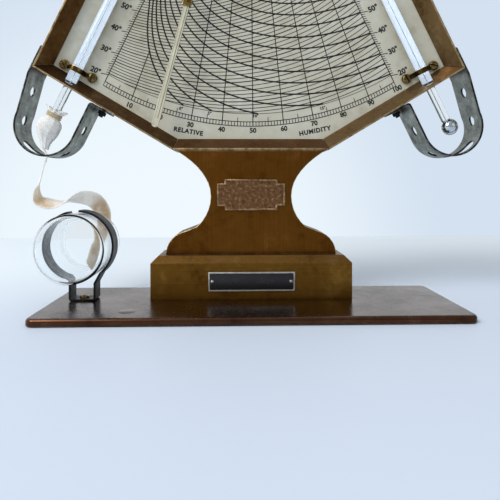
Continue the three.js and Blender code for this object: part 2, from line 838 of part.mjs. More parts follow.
function makeCase() {
  const names = [
    "case_lower_left",
    "case_side_left",
    "case_top",
    "case_side_right",
    "case_lower_right",
    "case_bottom",
  ];
  names.forEach((name, i) => {
    let wall = wallSolid(i);
    const side = name.endsWith("left") ? -1 : 1;
    if (name.startsWith("case_lower")) {
      const bulb = tubePlace(side, 0, 0);
      const stemEnd = tubePlace(side, 0, stemLength + overrun);
      const tubeStart = tubePlace(side, 0, stemLength - gap);
      const saddle = tubePlace(side, 0, saddleAlong);
      wall = wall
        .subtract(rod(stemRadius + fit, bulb, stemEnd, tubeSides))
        .subtract(rod(tubeRadius + fit, tubeStart, saddle, tubeSides))
        .subtract(guardBoltHole(side));
    }
    if (name.startsWith("case_side")) {
      wall = wall.subtract(guardSideHole(side));
    }
    if (name === "case_bottom") {
      for (const offset of [-boltOffset, boltOffset]) {
        const from = at(offset, fastenerY, caseBottom - overrun);
        const to = at(offset, fastenerY, caseBottom + caseSheet + overrun);
        wall = wall.subtract(rod(boltRadius + fit, from, to));
      }
    }
    add(name, wall, finish.bronze);
  });

  let back = acrossDepth(insetFan(backInset), backPlateFront, backPlateFront + backSheet);
  let board = acrossDepth(insetFan(boardInset), boardFront, boardBack);
  let chart = acrossDepth(insetFan(chartInset), chartFront, boardFront);
  for (const [name, z] of [["lower", caseBottom + postRise], ["upper", caseTop - postDrop]]) {
    const front = at(0, boardBack, z);
    const rear = at(0, backPlateFront, z);
    const seat = at(0, backPlateFront + backSheet, z);
    const spigotEnd = at(0, boardFront + gap, z);
    const spigotRoot = at(0, boardBack + postRadius, z);
    const post = rod(postRadius, front, rear)
      .add(rod(postSpigotRadius, spigotEnd, spigotRoot))
      .subtract(screwHole(seat, along.y, backSheet + postRadius + boltRoom));
    board = board.subtract(throughBoard(postSpigotRadius + fit, z));
    back = back.subtract(screwHole(seat, along.y, backSheet + overrun));
    add(`board_post_${name}`, post, finish.brass);
    add(`back_screw_${name}`, slottedScrew(seat, along.y, backSheet + postRadius), finish.brass);
  }
  const studHole = throughBoard(studTailRadius + fit, pivotZ);
  board = board.subtract(studHole);
  chart = chart.subtract(studHole);
  for (const side of [-1, 1]) {
    for (const out of [-saddleScrewOffset, saddleScrewOffset]) {
      const seat = tubePlace(side, out, saddleAlong, chartFront);
      const hole = screwHole(seat, along.front, boardBack - chartFront + overrun);
      board = board.subtract(hole);
      chart = chart.subtract(hole);
    }
    const leg = stapleWire / 2 + gap;
    for (const out of [-stapleOut(), stapleOut()]) {
      const square = [
        [out - leg, chartFront - overrun],
        [out + leg, chartFront - overrun],
        [out + leg, boardBack + overrun],
        [out - leg, boardBack + overrun],
      ];
      const hole = acrossTube(side, square, stapleAlong - leg, stapleAlong + leg);
      board = board.subtract(hole);
      chart = chart.subtract(hole);
    }
  }
  add("case_back", back, finish.bronze);
  add("chart_board", board, finish.wood);
  add("chart_sheet", chart, finish.card);
}

// Index arm: it hangs from a stud and its rest angle points at about a fifth of the scale
function armFrame(across, down) {
  const sin = Math.sin(armRestAngle);
  const cos = Math.cos(armRestAngle);
  return [across * cos - down * sin, pivotZ - across * sin - down * cos];
}

function armPlate(points, yFrom, yTo) {
  return acrossDepth(points.map(([across, down]) => armFrame(across, down)), yFrom, yTo);
}

function makeIndex() {
  const armFront = armBack - armThickness;
  const hubBack = armBack;
  const hubFront = hubBack - armHubThickness;
  const nutBack = hubFront - gap;
  const nutFront = nutBack - thumbNutHeight;
  const stud = [
    [0, nutFront],
    [studAxleRadius, nutFront],
    [studAxleRadius, hubBack + gap],
    [studShoulderRadius, hubBack + gap],
    [studShoulderRadius, chartFront - studFlange],
    [studFlangeRadius, chartFront - studFlange],
    [studFlangeRadius, chartFront],
    [studTailRadius, chartFront],
    [studTailRadius, chartFront + studTail],
    [0, chartFront + studTail],
  ];
  add("index_stud", turned(stud, at(0, 0, pivotZ), along.y), finish.brass);

  const half = armWidth / 2;
  const tipHalf = armTipWidth / 2;
  const tipFrom = armLength - armTipLength;
  const blade = [
    [-half, 0],
    [half, 0],
    [half, tipFrom],
    [tipHalf, tipFrom + armTipWidth],
    ...arc(0, armLength - tipHalf, tipHalf, 0, Math.PI),
    [-tipHalf, tipFrom + armTipWidth],
    [-half, tipFrom],
  ];
  const hub = arc(0, 0, armHubRadius, 0, 2 * Math.PI, holeStep).slice(1);
  const axleHole = rod(
    studAxleRadius + fit,
    at(0, nutFront - overrun, pivotZ),
    at(0, hubBack + overrun, pivotZ),
  );
  const arm = armPlate(blade, armFront, armBack)
    .add(armPlate(hub, hubFront, hubBack))
    .subtract(axleHole);
  add("index_arm", arm, finish.cream);

  const knurls = Array.from({ length: 2 * thumbNutKnurls }, (_, i) => {
    const angle = (i * Math.PI) / thumbNutKnurls;
    const radius = thumbNutRadius - (i % 2 ? thumbNutKnurlDepth : 0);
    return [radius * Math.cos(angle), pivotZ + radius * Math.sin(angle)];
  });
  add("index_thumb_nut", acrossDepth(knurls, nutFront, nutBack).subtract(axleHole), finish.brass);

  const hollow = half + sliderClearance;
  const outer = hollow + sliderWall;
  const from = sliderDistance - sliderLength / 2;
  const to = sliderDistance + sliderLength / 2;
  const sliderFront = armFront - sliderClearance - sliderWall;
  const sliderBack = armBack + sliderClearance + sliderWall;
  const rectangle = (w, a, b) => [
    [-w, a],
    [w, a],
    [w, b],
    [-w, b],
  ];
  const inside = rectangle(hollow, from - overrun, to + overrun);
  const sleeve = armPlate(rectangle(outer, from, to), sliderFront, sliderBack)
    .subtract(armPlate(inside, armFront - sliderClearance, armBack + sliderClearance));
  const tipY = chartFront - pointerChartGap;
  const needle = [
    [from + pointerLength, sliderBack - sliderWall / 2],
    [from, sliderBack - sliderWall / 2],
    [from, tipY],
    [from + pointerTip, tipY],
  ];
  const needleGeometry = extruded(needle, pointerThickness);
  const down = armFrame(0, 1);
  const across = armFrame(1, 0);
  needleGeometry.translate(0, 0, -pointerThickness / 2);
  needleGeometry.applyMatrix4(
    new THREE.Matrix4().makeBasis(
      at(down[0], 0, down[1] - pivotZ),
      at(0, 1, 0),
      at(across[0], 0, across[1] - pivotZ),
    ),
  );
  needleGeometry.translate(0, 0, pivotZ);
  const [knobX, knobZ] = armFrame(0, sliderDistance);
  const knobFront = at(knobX, sliderFront - sliderKnobHeight, knobZ);
  const knob = rod(sliderKnobRadius, knobFront, at(knobX, sliderFront + sliderWall / 2, knobZ));
  add("index_slider", sleeve.add(toSolid(needleGeometry)).add(knob), finish.brass);
}

// Thermometers
function bulbArc(radius, neckRadius) {
  const turn = Math.asin(neckRadius / radius);
  return Array.from({ length: bulbSteps }, (_, i) => {
    const angle = -Math.PI / 2 + ((i + 1) / bulbSteps) * (Math.PI - turn);
    return [radius * Math.cos(angle), radius * Math.sin(angle)];
  });
}

function stapleOut() {
  return tubeRadius + fit + stapleWire / 2;
}

function makeThermometer(side, name, threadLength) {
  const start = tubePlace(side, 0, 0);
  const axis = tubeAxis(side);
  const cavity = bulbRadius - bulbWall;
  const glass = [
    [0, -bulbRadius],
    ...bulbArc(bulbRadius, stemRadius),
    [stemRadius, stemLength],
    [tubeRadius, stemLength + tubeShoulder],
    [tubeRadius, tubeEnd - tubeShoulder],
    [stemRadius, tubeEnd],
    [boreRadius, tubeEnd],
    ...bulbArc(cavity, boreRadius).reverse(),
    [0, -cavity],
  ];
  add(`${name}_thermometer_glass`, turned(glass, start, axis, tubeSides), finish.glass);
  const ball = cavity - bulbMercuryGap;
  const mercury = [
    [0, -ball],
    ...bulbArc(ball, threadRadius),
    [threadRadius, threadLength],
    [0, threadLength],
  ];
  add(`${name}_thermometer_mercury`, turned(mercury, start, axis, tubeSides), finish.mercury);

  const arch = tubeRadius + fit + saddleSheet / 2;
  const earY = chartFront - saddleSheet / 2 - gap / 2;
  const route = [
    [-saddleEar, earY],
    [-arch - saddleSheet, earY],
    [-arch, earY - saddleSheet],
    ...arc(0, tubeY, arch, Math.PI, 2 * Math.PI, holeStep),
    [arch, earY - saddleSheet],
    [arch + saddleSheet, earY],
    [saddleEar, earY],
  ];
  const strap = stripOutline(route, saddleSheet);
  let saddle = acrossTube(side, strap, saddleAlong - saddleWidth / 2, saddleAlong + saddleWidth / 2);
  const screws = [
    ["inner", -saddleScrewOffset],
    ["outer", saddleScrewOffset],
  ];
  for (const [, out] of screws) {
    const front = tubePlace(side, out, saddleAlong, earY - saddleSheet / 2);
    const rear = tubePlace(side, out, saddleAlong, earY + saddleSheet / 2);
    saddle = saddle.add(rod(saddleEarRadius, front, rear));
  }
  for (const [which, out] of screws) {
    const seat = tubePlace(side, out, saddleAlong, earY - saddleSheet / 2);
    const length = boardBack - seat.y - screwTail;
    saddle = saddle.subtract(screwHole(seat, along.front, saddleSheet + overrun));
    const head = at(seat.x, seat.y - gap / 2, seat.z);
    add(`${name}_saddle_screw_${which}`, slottedScrew(head, along.front, length), finish.brass);
  }
  add(`${name}_saddle`, saddle, finish.brass);

  const reach = stapleOut();
  const staple = [
    [-reach, boardBack + stapleClinch],
    ...arc(0, tubeY, reach, Math.PI, 2 * Math.PI, holeStep),
    [reach, boardBack + stapleClinch],
  ];
  const wire = stripOutline(staple, stapleWire);
  const clip = acrossTube(side, wire, stapleAlong - stapleWire / 2, stapleAlong + stapleWire / 2);
  add(`${name}_upper_staple`, clip, finish.brass);
}

// Where the outside of the case lies in the tube's frame
function lowerWallUp(out) {
  const outOf = (x, z) => (x - bulbX) * Math.cos(sideAngle) + (z - bulbZ) * Math.sin(sideAngle);
  const upOf = (x, z) => -(x - bulbX) * Math.sin(sideAngle) + (z - bulbZ) * Math.cos(sideAngle);
  const wide = [outOf(caseCornerHalfWidth, caseCornerZ), upOf(caseCornerHalfWidth, caseCornerZ)];
  const low = [outOf(caseBottomHalfWidth, caseBottom), upOf(caseBottomHalfWidth, caseBottom)];
  const slope = (wide[1] - low[1]) / (wide[0] - low[0]);
  return { up: low[1] + (out - low[0]) * slope, slope, sideOut: wide[0] };
}

// The saddle sits just above the lip of the lower wall, clear of it at its outer ear
function saddlePlace() {
  const wall = lowerWallUp(saddleScrewOffset);
  const lip = (caseRim + caseSplay) * Math.hypot(1, wall.slope);
  return wall.up + lip + saddleEarRadius + saddleLipGap;
}

function guardInnerOut() {
  return guardCentreOut - guardRadius;
}

function lowerWallNormal(side) {
  const { slope } = lowerWallUp(0);
  const length = Math.hypot(1, slope);
  return tubeAxis(side)
    .multiplyScalar(1 / length)
    .addScaledVector(tubeOut(side), -slope / length);
}

function guardBoltSeat(side) {
  const out = guardInnerOut() - guardBoltOffset;
  return tubePlace(side, out, lowerWallUp(out).up, fastenerY);
}

function guardBoltHole(side) {
  const normal = lowerWallNormal(side);
  const seat = guardBoltSeat(side);
  const from = seat.clone().addScaledVector(normal, -overrun - guardSheet);
  return rod(guardBoltRadius + fit, from, seat.clone().addScaledVector(normal, caseSheet + overrun));
}

function guardSideSeat(side) {
  return tubePlace(side, lowerWallUp(0).sideOut, guardSideScrewAlong, fastenerY);
}

function guardSideHole(side) {
  const seat = guardSideSeat(side);
  const out = tubeOut(side);
  const from = seat.clone().addScaledVector(out, guardSheet + overrun);
  return rod(screwShankRadius + fit, from, seat.clone().addScaledVector(out, -caseSheet - overrun));
}

function guardRoute() {
  const outer = lowerWallUp(0).sideOut + gap + guardSheet / 2;
  const inner = guardInnerOut();
  const wall = lowerWallUp(inner);
  const flangeUp = (out) => wall.up + (out - inner) * wall.slope - gap - guardSheet / 2;
  return [
    [outer, guardOuterTop],
    [outer, guardOuterBend],
    ...arc(guardCentreOut, 0, guardRadius, 0, -Math.PI),
    [inner, flangeUp(inner) - guardSheet],
    [inner - guardSheet, flangeUp(inner - guardSheet)],
    [inner - guardFlange, flangeUp(inner - guardFlange)],
  ];
}

function guardCutter(side, angle, outline, y) {
  const geometry = extruded(outline, guardRadius);
  const radial = tubeOut(side)
    .multiplyScalar(Math.cos(angle))
    .addScaledVector(tubeAxis(side), Math.sin(angle));
  const tangent = tubeOut(side)
    .multiplyScalar(-Math.sin(angle))
    .addScaledVector(tubeAxis(side), Math.cos(angle));
  const middle = tubePlace(side, guardCentreOut, 0, y);
  geometry.translate(0, 0, guardRadius / 2);
  geometry.applyMatrix4(new THREE.Matrix4().makeBasis(tangent, along.y, radial));
  geometry.translate(middle.x, middle.y, middle.z);
  return toSolid(geometry);
}

function makeGuard(side, name) {
  const yFrom = caseFront + guardFrontInset;
  const outline = stripOutline(guardRoute(), guardSheet);
  let guard = guardPlate(side, outline, yFrom, yFrom + guardWidth);
  const circle = arc(0, 0, guardHoleRadius, 0, 2 * Math.PI, holeStep).slice(1);
  const y = yFrom + guardWidth / 2;
  for (const angle of [guardLowHoleAngle, guardOuterHoleAngle]) {
    guard = guard.subtract(guardCutter(side, angle, circle, y));
  }
  const end = guardSlotLength / 2 - guardSlotWidth / 2;
  const slot = [
    ...arc(end, 0, guardSlotWidth / 2, -Math.PI / 2, Math.PI / 2, holeStep),
    ...arc(-end, 0, guardSlotWidth / 2, Math.PI / 2, (3 * Math.PI) / 2, holeStep),
  ];
  guard = guard.subtract(guardCutter(side, guardSlotAngle, slot, yFrom + guardSlotFromFront));
  const holes = [
    [guardCentreOut + guardRadius / 2, 2 * guardRadius, guardHoleAlong],
    [-2 * guardRadius, guardCentreOut - guardRadius / 2, guardInnerHoleAlong],
  ];
  for (const [from, to, up] of holes) {
    guard = guard.subtract(rod(guardHoleRadius, tubePlace(side, from, up, y), tubePlace(side, to, up, y)));
  }
  guard = guard.subtract(guardBoltHole(side)).subtract(guardSideHole(side));
  add(`${name}_bulb_guard`, guard, finish.steel);

  const normal = lowerWallNormal(side);
  const seat = guardBoltSeat(side);
  const inside = seat.clone().addScaledVector(normal, caseSheet + gap);
  const below = seat.clone().addScaledVector(normal, -gap - guardSheet - gap);
  const nutEnd = below.clone().addScaledVector(normal, -guardNutHeight);
  const headTop = inside.clone().addScaledVector(normal, guardBoltHeadHeight);
  const headMiddle = inside.clone().addScaledVector(normal, guardBoltHeadHeight / 2);
  const bolt = rod(guardBoltHeadRadius, inside, headTop).add(rod(guardBoltRadius, nutEnd, headMiddle));
  add(`${name}_guard_bolt`, bolt, finish.blackSteel);
  const nutHole = rod(
    guardBoltRadius + fit,
    nutEnd.clone().addScaledVector(normal, -overrun),
    below.clone().addScaledVector(normal, overrun),
  );
  const nut = rod(guardNutRadius, nutEnd, below, hexSides).subtract(nutHole);
  add(`${name}_guard_nut`, nut, finish.blackSteel);

  const out = tubeOut(side);
  const head = guardSideSeat(side).addScaledVector(out, gap + guardSheet + gap);
  const reach = 2 * gap + guardSheet + caseSheet + screwTail;
  add(`${name}_guard_side_screw`, slottedScrew(head, out, reach), finish.steel);
}

function clipScrewSeat() {
  const x = clipX + (clipLegRight - clipLegLeft) / 2;
  return at(x, clipFront + clipWidth / 2, baseTop + clipSheet);
}

function makeClip() {
  const footZ = baseTop + clipSheet / 2;
  const right = arc(clipX, clipZ, clipRingRadius, clipGapFrom, clipRightBend);
  const left = arc(clipX, clipZ, clipRingRadius, clipLeftBend, clipGapTo - 2 * Math.PI);
  const legRight = clipX + clipLegRight;
  const legLeft = clipX - clipLegLeft;
  const legTop = baseTop + clipLegTop;
  const route = [
    ...right,
    [legRight, legTop],
    [legRight, footZ],
    [legLeft, footZ],
    [legLeft, legTop],
    ...left,
  ];
  const seat = clipScrewSeat();
  const clip = acrossDepth(stripOutline(route, clipSheet), clipFront, clipFront + clipWidth)
    .subtract(screwHole(seat, along.up, clipSheet + overrun));
  add("bottle_clip", clip, finish.blackSteel);
  add("clip_screw", slottedScrew(seat, along.up, clipSheet + baseThickness - gap), finish.brass);
}

function bottleFront() {
  return clipFront - bottleFrontReach;
}

function makeBottle() {
  const start = at(clipX, bottleFront(), clipZ);
  const inside = bottleRadius - bottleWall;
  const neckOuter = bottleBoreRadius + bottleWall;
  const shoulderEnd = bottleBody + bottleShoulder;
  const mouth = shoulderEnd + bottleNeck;
  const profile = [
    [0, 0],
    [bottleRadius - bottleEdge, 0],
    [bottleRadius, bottleEdge],
    [bottleRadius, bottleBody],
    [neckOuter, shoulderEnd],
    [neckOuter, mouth - bottleLipHeight],
    [neckOuter + bottleLip, mouth - bottleLipHeight],
    [neckOuter + bottleLip, mouth],
    [bottleBoreRadius, mouth],
    [bottleBoreRadius, shoulderEnd],
    [inside, bottleBody],
    [inside, bottleEdge],
    [inside - bottleEdge / 2, bottleWall],
    [0, bottleWall],
  ];
  add("water_bottle", turned(profile, start, along.y, bottleSides), finish.glass);
}

// Wick: a sleeve tied over the wet bulb, and a tape that hangs from it into the bottle
function makeWick() {
  const side = -1;
  const start = tubePlace(side, 0, 0);
  const neckIn = stemRadius + wickClearance;
  const bulge = bulbRadius + wickClearance;
  const sleeveHole = [
    [neckIn, wickTop],
    [neckIn, bulbRadius],
    [bulge, bulbRadius / 2],
    [bulge, -bulbRadius / 2],
    [neckIn, -bulbRadius],
    [0, -bulbRadius - wickClearance],
  ];
  const sleeve = [
    [0, -wickBottom],
    [wickBottomRadius, -wickBottom],
    [wickBottomRadius + wickSleeveWall, -wickBottom / 2 - bulbRadius / 2],
    [bulge + wickSleeveWall, -bulbRadius / 2],
    [bulge + wickSleeveWall, bulbRadius / 2],
    [neckIn + wickSleeveWall, wickBindingAlong],
    [neckIn + wickSleeveWall, wickBindingAlong + bindingTurns * bindingPitch + 2 * bindingThread],
    [wickRuffleRadius, wickTop],
    ...sleeveHole,
  ];
  add("wick_sleeve", turned(sleeve, start, tubeAxis(side)), finish.cotton);

  const coilRadius = neckIn + wickSleeveWall + bindingThread + gap;
  const sections = bindingTurns * bindingSteps;
  const helix = [];
  for (let i = 0; i <= sections; i += 1) {
    const angle = (i * 2 * Math.PI) / bindingSteps;
    const up = wickBindingAlong + bindingThread + (bindingPitch * i) / bindingSteps;
    const place = tubePlace(side, coilRadius * Math.cos(angle), up);
    helix.push(at(place.x, tubeY + coilRadius * Math.sin(angle), place.z));
  }
  const thread = arc(0, 0, bindingThread, 0, 2 * Math.PI, (2 * Math.PI) / hexSides).slice(1);
  const binding = new THREE.ExtrudeGeometry(shapeOf(thread), {
    steps: sections,
    bevelEnabled: false,
    extrudePath: new THREE.CatmullRomCurve3(helix),
  });
  add("wick_binding", toSolid(binding), finish.thread);

  add("wick_tape", toSolid(ribbon(tapeStations())), finish.cotton);
}

// The tape's stations below the guard, from the middle of the bottle's mouth, as shares of the
// clip ring's radius: place, direction of the tape's width, and width as a share of tapeWidth
const tapeShares = [
  [[-1.32, -0.35, 2.26], [-0.34, 0.93, 0.12], 0.7],
  [[-1.43, -0.35, 1.83], [-0.35, 0.93, 0.06], 0.85],
  [[-1.5, -0.37, 1.53], [0.06, 0.99, -0.09], 0.95],
  [[-1.42, -0.4, 1.28], [0.4, 0.86, 0.32], 0.95],
  [[-1.18, -0.4, 1.19], [0.08, 0.76, 0.64], 0.95],
  [[-0.87, -0.37, 1.18], [-0.12, 0.91, 0.4], 0.95],
  [[-0.6, -0.35, 1.24], [-0.13, 0.99, -0.05], 0.95],
  [[-0.36, -0.3, 1.32], [-0.06, 0.79, -0.61], 0.95],
  [[-0.14, -0.22, 1.36], [-0.24, 0.46, -0.86], 1],
  [[0.1, -0.11, 1.29], [-0.58, 0.05, -0.81], 1],
  [[0.24, 0.08, 1.1], [-0.81, -0.21, -0.54], 1],
  [[0.32, 0.23, 0.83], [-0.93, -0.3, -0.22], 0.95],
  [[0.31, 0.3, 0.51], [-0.93, -0.35, 0.12], 0.85],
  [[0.26, 0.15, 0.18], [-0.82, -0.4, 0.4], 0.75],
  [[0.25, -0.17, -0.1], [-0.72, -0.42, 0.56], 0.7],
  [[0.26, -0.54, -0.35], [-0.69, -0.41, 0.59], 0.7],
  [[0.25, -0.86, -0.57], [-0.62, -0.38, 0.69], 0.7],
  [[0.25, -1.04, -0.62], [-0.48, -0.27, 0.83], 0.6],
];
const tapeTopShares = [
  [[-0.36, 1, 0], 0.45],
  [[-0.36, 1, 0], 0.6],
];

// Each station: centre of the tape, the direction of its width, and that width
function tapeStations() {
  const top = tubePlace(-1, 0, -wickBottom - wickThickness);
  const slot = tubePlace(
    -1,
    guardCentreOut + guardRadius * Math.cos(tapeSlotAngle),
    guardRadius * Math.sin(tapeSlotAngle),
    caseFront + guardFrontInset + guardSlotFromFront - tapeSlotForward,
  );
  const mouth = at(clipX, bottleFront() + bottleBody + bottleShoulder + bottleNeck, clipZ);
  const places = [top, slot].map((place, i) => [place, ...tapeTopShares[i]]);
  for (const [shares, direction, share] of tapeShares) {
    places.push([mouth.clone().addScaledVector(at(...shares), clipRingRadius), direction, share]);
  }
  return places.map(([place, direction, share]) => {
    return [place, at(...direction).normalize(), share * tapeWidth];
  });
}

function ribbon(stations) {
  const centre = new THREE.CatmullRomCurve3(stations.map(([place]) => place));
  const width = new THREE.CatmullRomCurve3(
    stations.map(([, direction, size]) => direction.multiplyScalar(size)),
  );
  const steps = (stations.length - 1) * tapeSteps;
  const vertices = [];
  const faces = [];
  for (let i = 0; i <= steps; i += 1) {
    const t = i / steps;
    const middle = centre.getPoint(t);
    const half = width.getPoint(t).multiplyScalar(1 / 2);
    const thick = centre.getTangent(t).cross(half).normalize().multiplyScalar(wickThickness / 2);
    for (const [a, b] of [[-1, -1], [1, -1], [1, 1], [-1, 1]]) {
      vertices.push(...middle.clone().addScaledVector(half, a).addScaledVector(thick, b).toArray());
    }
  }
  const quad = (a, b, c, d) => faces.push(a, b, c, a, c, d);
  for (let i = 0; i < steps; i += 1) {
    for (let k = 0; k < 4; k += 1) {
      const next = (k + 1) % 4;
      quad(4 * i + k, 4 * i + next, 4 * i + 4 + next, 4 * i + 4 + k);
    }
  }
  quad(3, 2, 1, 0);
  quad(4 * steps, 4 * steps + 1, 4 * steps + 2, 4 * steps + 3);
  const geometry = new THREE.BufferGeometry();
  geometry.setAttribute("position", new THREE.BufferAttribute(Float32Array.from(vertices), 3));
  geometry.setIndex(faces);
  return geometry;
}

makeBase();
makePlinth();
makeNameplate();
makeNeck();
makePlaque();
makeCase();
makeIndex();
makeThermometer(-1, "wet", wetThreadLength);
makeThermometer(1, "dry", dryThreadLength);
makeGuard(-1, "wet");
makeGuard(1, "dry");
makeClip();
makeBottle();
makeWick();

export default hygrometer;
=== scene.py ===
# %% [markdown]
# # A wet and dry bulb hygrometer
# The real instrument is a fan-shaped bronze case on a waisted neck, a chamfered plinth and a base
# plate. A printed chart lies in the case between two thermometers. Cotton keeps one bulb wet.
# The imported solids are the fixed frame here: they give every place and every joint. This script
# adds what a solid can't show, such as rounded edges, glass you can look through, printed lines,
# cloth, and metal that has aged.

# %% Load the frame
from math import asin, ceil, cos, log, pi, radians, sin, tan

import bmesh
import bpy
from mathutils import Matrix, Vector, noise


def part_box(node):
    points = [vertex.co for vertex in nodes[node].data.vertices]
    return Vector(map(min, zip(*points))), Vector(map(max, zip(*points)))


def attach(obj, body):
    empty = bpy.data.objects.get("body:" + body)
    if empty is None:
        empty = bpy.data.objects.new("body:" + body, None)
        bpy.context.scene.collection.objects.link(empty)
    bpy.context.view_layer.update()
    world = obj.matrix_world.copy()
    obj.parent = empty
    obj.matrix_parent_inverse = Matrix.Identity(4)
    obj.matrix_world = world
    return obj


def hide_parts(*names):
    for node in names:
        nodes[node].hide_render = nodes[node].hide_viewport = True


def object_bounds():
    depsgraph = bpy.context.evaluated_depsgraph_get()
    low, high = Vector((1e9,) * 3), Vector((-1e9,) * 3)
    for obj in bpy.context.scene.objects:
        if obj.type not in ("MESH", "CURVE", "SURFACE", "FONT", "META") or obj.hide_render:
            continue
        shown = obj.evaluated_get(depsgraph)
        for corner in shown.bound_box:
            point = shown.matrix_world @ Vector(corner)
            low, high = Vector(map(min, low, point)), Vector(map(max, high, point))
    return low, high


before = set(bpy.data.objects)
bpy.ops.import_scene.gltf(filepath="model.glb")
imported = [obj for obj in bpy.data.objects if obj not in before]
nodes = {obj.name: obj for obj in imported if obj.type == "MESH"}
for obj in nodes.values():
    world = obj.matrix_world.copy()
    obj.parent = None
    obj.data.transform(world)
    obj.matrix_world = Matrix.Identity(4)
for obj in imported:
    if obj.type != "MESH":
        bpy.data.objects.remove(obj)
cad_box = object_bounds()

mm = 0.001  # the frame is in metres, and the sizes below are written in millimetres
overall = [round((high - low) / mm) for low, high in zip(*cad_box)]
print(len(nodes), "solids, overall", overall, "mm")


def linked(name, data):
    made = bpy.data.objects.new(name, data)
    bpy.context.scene.collection.objects.link(made)
    return made


# %% [markdown]
# ## The camera
# The photograph was taken close by, a little above the base, and level. Its frame cuts off the top
# of the case. A level camera with a vertical shift keeps upright edges upright, as they are there.

# %% Place the camera
camera_data = bpy.data.cameras.new("camera")
camera_data.lens = camera_data.sensor_width = 36
camera_data.shift_y = -0.131
camera = linked("camera", camera_data)
camera.location = (-7.87 * mm, -289.6 * mm, 70.95 * mm)
camera.rotation_euler = (pi / 2, 0.002, -0.024)
bpy.context.scene.camera = camera
bpy.context.scene.view_settings.view_transform = "Standard"


# %% [markdown]
# ## Small helpers for node trees
# A material is a tree of nodes. The main helper adds a node and fills its inputs, where an input is
# a plain value or another node's output. The others are shorthands for the nodes used most often.

# %% Add nodes
def fill(tree, socket, value):
    if isinstance(value, bpy.types.NodeSocket):
        tree.links.new(value, socket)
    else:
        socket.default_value = value


def put(tree, kind, inputs=(), **settings):
    made = tree.nodes.new(kind)
    for name, value in settings.items():
        setattr(made, name, value)
    for name, value in dict(inputs).items():
        fill(tree, made.inputs[name], value)
    return made.outputs


def sum_of(tree, operation, *values, clamp=False):
    return put(tree, "ShaderNodeMath", enumerate(values), operation=operation, use_clamp=clamp)[0]


def times(tree, *values, clamp=False):
    """The product of two values, and a third one is added."""
    return sum_of(tree, "MULTIPLY" if len(values) == 2 else "MULTIPLY_ADD", *values, clamp=clamp)


def mixed(tree, factor, under, over, blend="MIX"):
    inputs = {0: factor, 6: under, 7: over}
    return put(tree, "ShaderNodeMix", inputs, data_type="RGBA", blend_type=blend)[2]


def ranged(tree, value, low, high, to_low=0.0, to_high=1.0):
    inputs = {"Value": value, "From Min": low, "From Max": high}
    inputs |= {"To Min": to_low, "To Max": to_high}
    return put(tree, "ShaderNodeMapRange", inputs, interpolation_type="SMOOTHSTEP")[0]


def own_place(tree):
    return put(tree, "ShaderNodeTexCoord")["Object"]


def grainy(tree, where, scale, detail=4.0, roughness=0.6):
    inputs = {"Vector": where, "Scale": scale, "Detail": detail, "Roughness": roughness}
    return put(tree, "ShaderNodeTexNoise", inputs)[0]


def bumped(tree, height, strength, reach=0.1 * mm):
    inputs = {"Height": height, "Strength": strength, "Distance": reach}
    return put(tree, "ShaderNodeBump", inputs)[0]


def new_material(name):
    made = bpy.data.materials.new(name)
    made.use_nodes = True
    return made, made.node_tree, made.node_tree.nodes["Principled BSDF"]


def feed(tree, shader, **sockets):
    for name, value in sockets.items():
        fill(tree, shader.inputs[name.replace("_", " ")], value)


def linear(red, green, blue):
    """A colour as a picture program gives it, from 0 to 255, in the linear values of a shader."""
    def one(level):
        share = level / 255
        return share / 12.92 if share <= 0.04045 else ((share + 0.055) / 1.055) ** 2.4

    return (one(red), one(green), one(blue), 1.0)


# %% [markdown]
# ## The table and the light
# A pale table stands in front of a pale wall, and soft light falls from the upper left, in front.
# The wall is the world's colour for the camera, and for rays that glass and metal send on. The
# table's colour is painted lighter towards the back and darker far to the left. Only the plain dome
# and two soft lamps light the object, with a small painted glow on the enamel strips and the cotton,
# so that a colour renders about as it is written.

# %% The table
table_back, table_reach = 387 * mm, 1400 * mm
table_drop = 0.2 * mm  # just under the base plate, so that the two don't share a face


def new_object(name, points, faces):
    mesh = bpy.data.meshes.new(name)
    mesh.from_pydata([tuple(point) for point in points], [], faces)
    mesh.validate()
    return linked(name, mesh)


table_corners = [
    (x * table_reach, table_back + y * table_reach, -table_drop)
    for x, y in ((-1, -1), (1, -1), (1, 0), (-1, 0))
]
table = new_object("table", table_corners, [(0, 1, 2, 3)])
table_finish, tree, shader = new_material("table")
where = own_place(tree)
# The table's colour is painted light and shade: lighter towards the back, and darker far to the left.
near = mixed(tree, grainy(tree, where, 3), (0.60, 0.68, 0.80, 1), (0.66, 0.735, 0.86, 1))
apart = put(tree, "ShaderNodeSeparateXYZ", {0: where})
depth = times(tree, apart[0], -0.35, apart[1])
pale = mixed(tree, ranged(tree, depth, -0.06, 0.25), near, (0.84, 0.92, 0.99, 1))
pale = mixed(tree, ranged(tree, apart[0], -0.37, -0.9), pale, (0.50, 0.56, 0.62, 1))
feed(tree, shader, Base_Color=pale, Roughness=0.55, Specular_IOR_Level=0.3)
table.data.materials.append(table_finish)

# %% The wall and the dome
world = bpy.data.worlds.new("studio")
bpy.context.scene.world = world
world.use_nodes = True
tree = world.node_tree
tree.nodes.clear()
ray = put(tree, "ShaderNodeLightPath")
looking = put(tree, "ShaderNodeTexCoord")["Generated"]
bright_middle = Vector((-0.16, 0.97, -0.14)).normalized()
two_ways = {0: looking, 1: bright_middle}
near_middle = put(tree, "ShaderNodeVectorMath", two_ways, operation="DOT_PRODUCT")[1]
glow = ranged(tree, near_middle, 0.84, 1.0)
wall = mixed(tree, glow, linear(212, 225, 240), linear(239, 249, 255))
toward_side, toward_back, _ = put(tree, "ShaderNodeSeparateXYZ", {0: looking})
behind = ranged(tree, toward_back, -1.0, 0.6)
room = mixed(tree, behind, (0.36, 0.38, 0.40, 1), (0.76, 0.82, 0.87, 1))
front = ranged(tree, toward_back, 0.8, 0.3)
dim = mixed(tree, ranged(tree, toward_side, -0.2, 0.7), (1.3, 1.28, 1.25, 1), (0.5, 0.5, 0.52, 1))
room = mixed(tree, 1.0, room, mixed(tree, front, (1, 1, 1, 1), dim), "MULTIPLY")
seen = mixed(tree, ray["Is Glossy Ray"], wall, room)
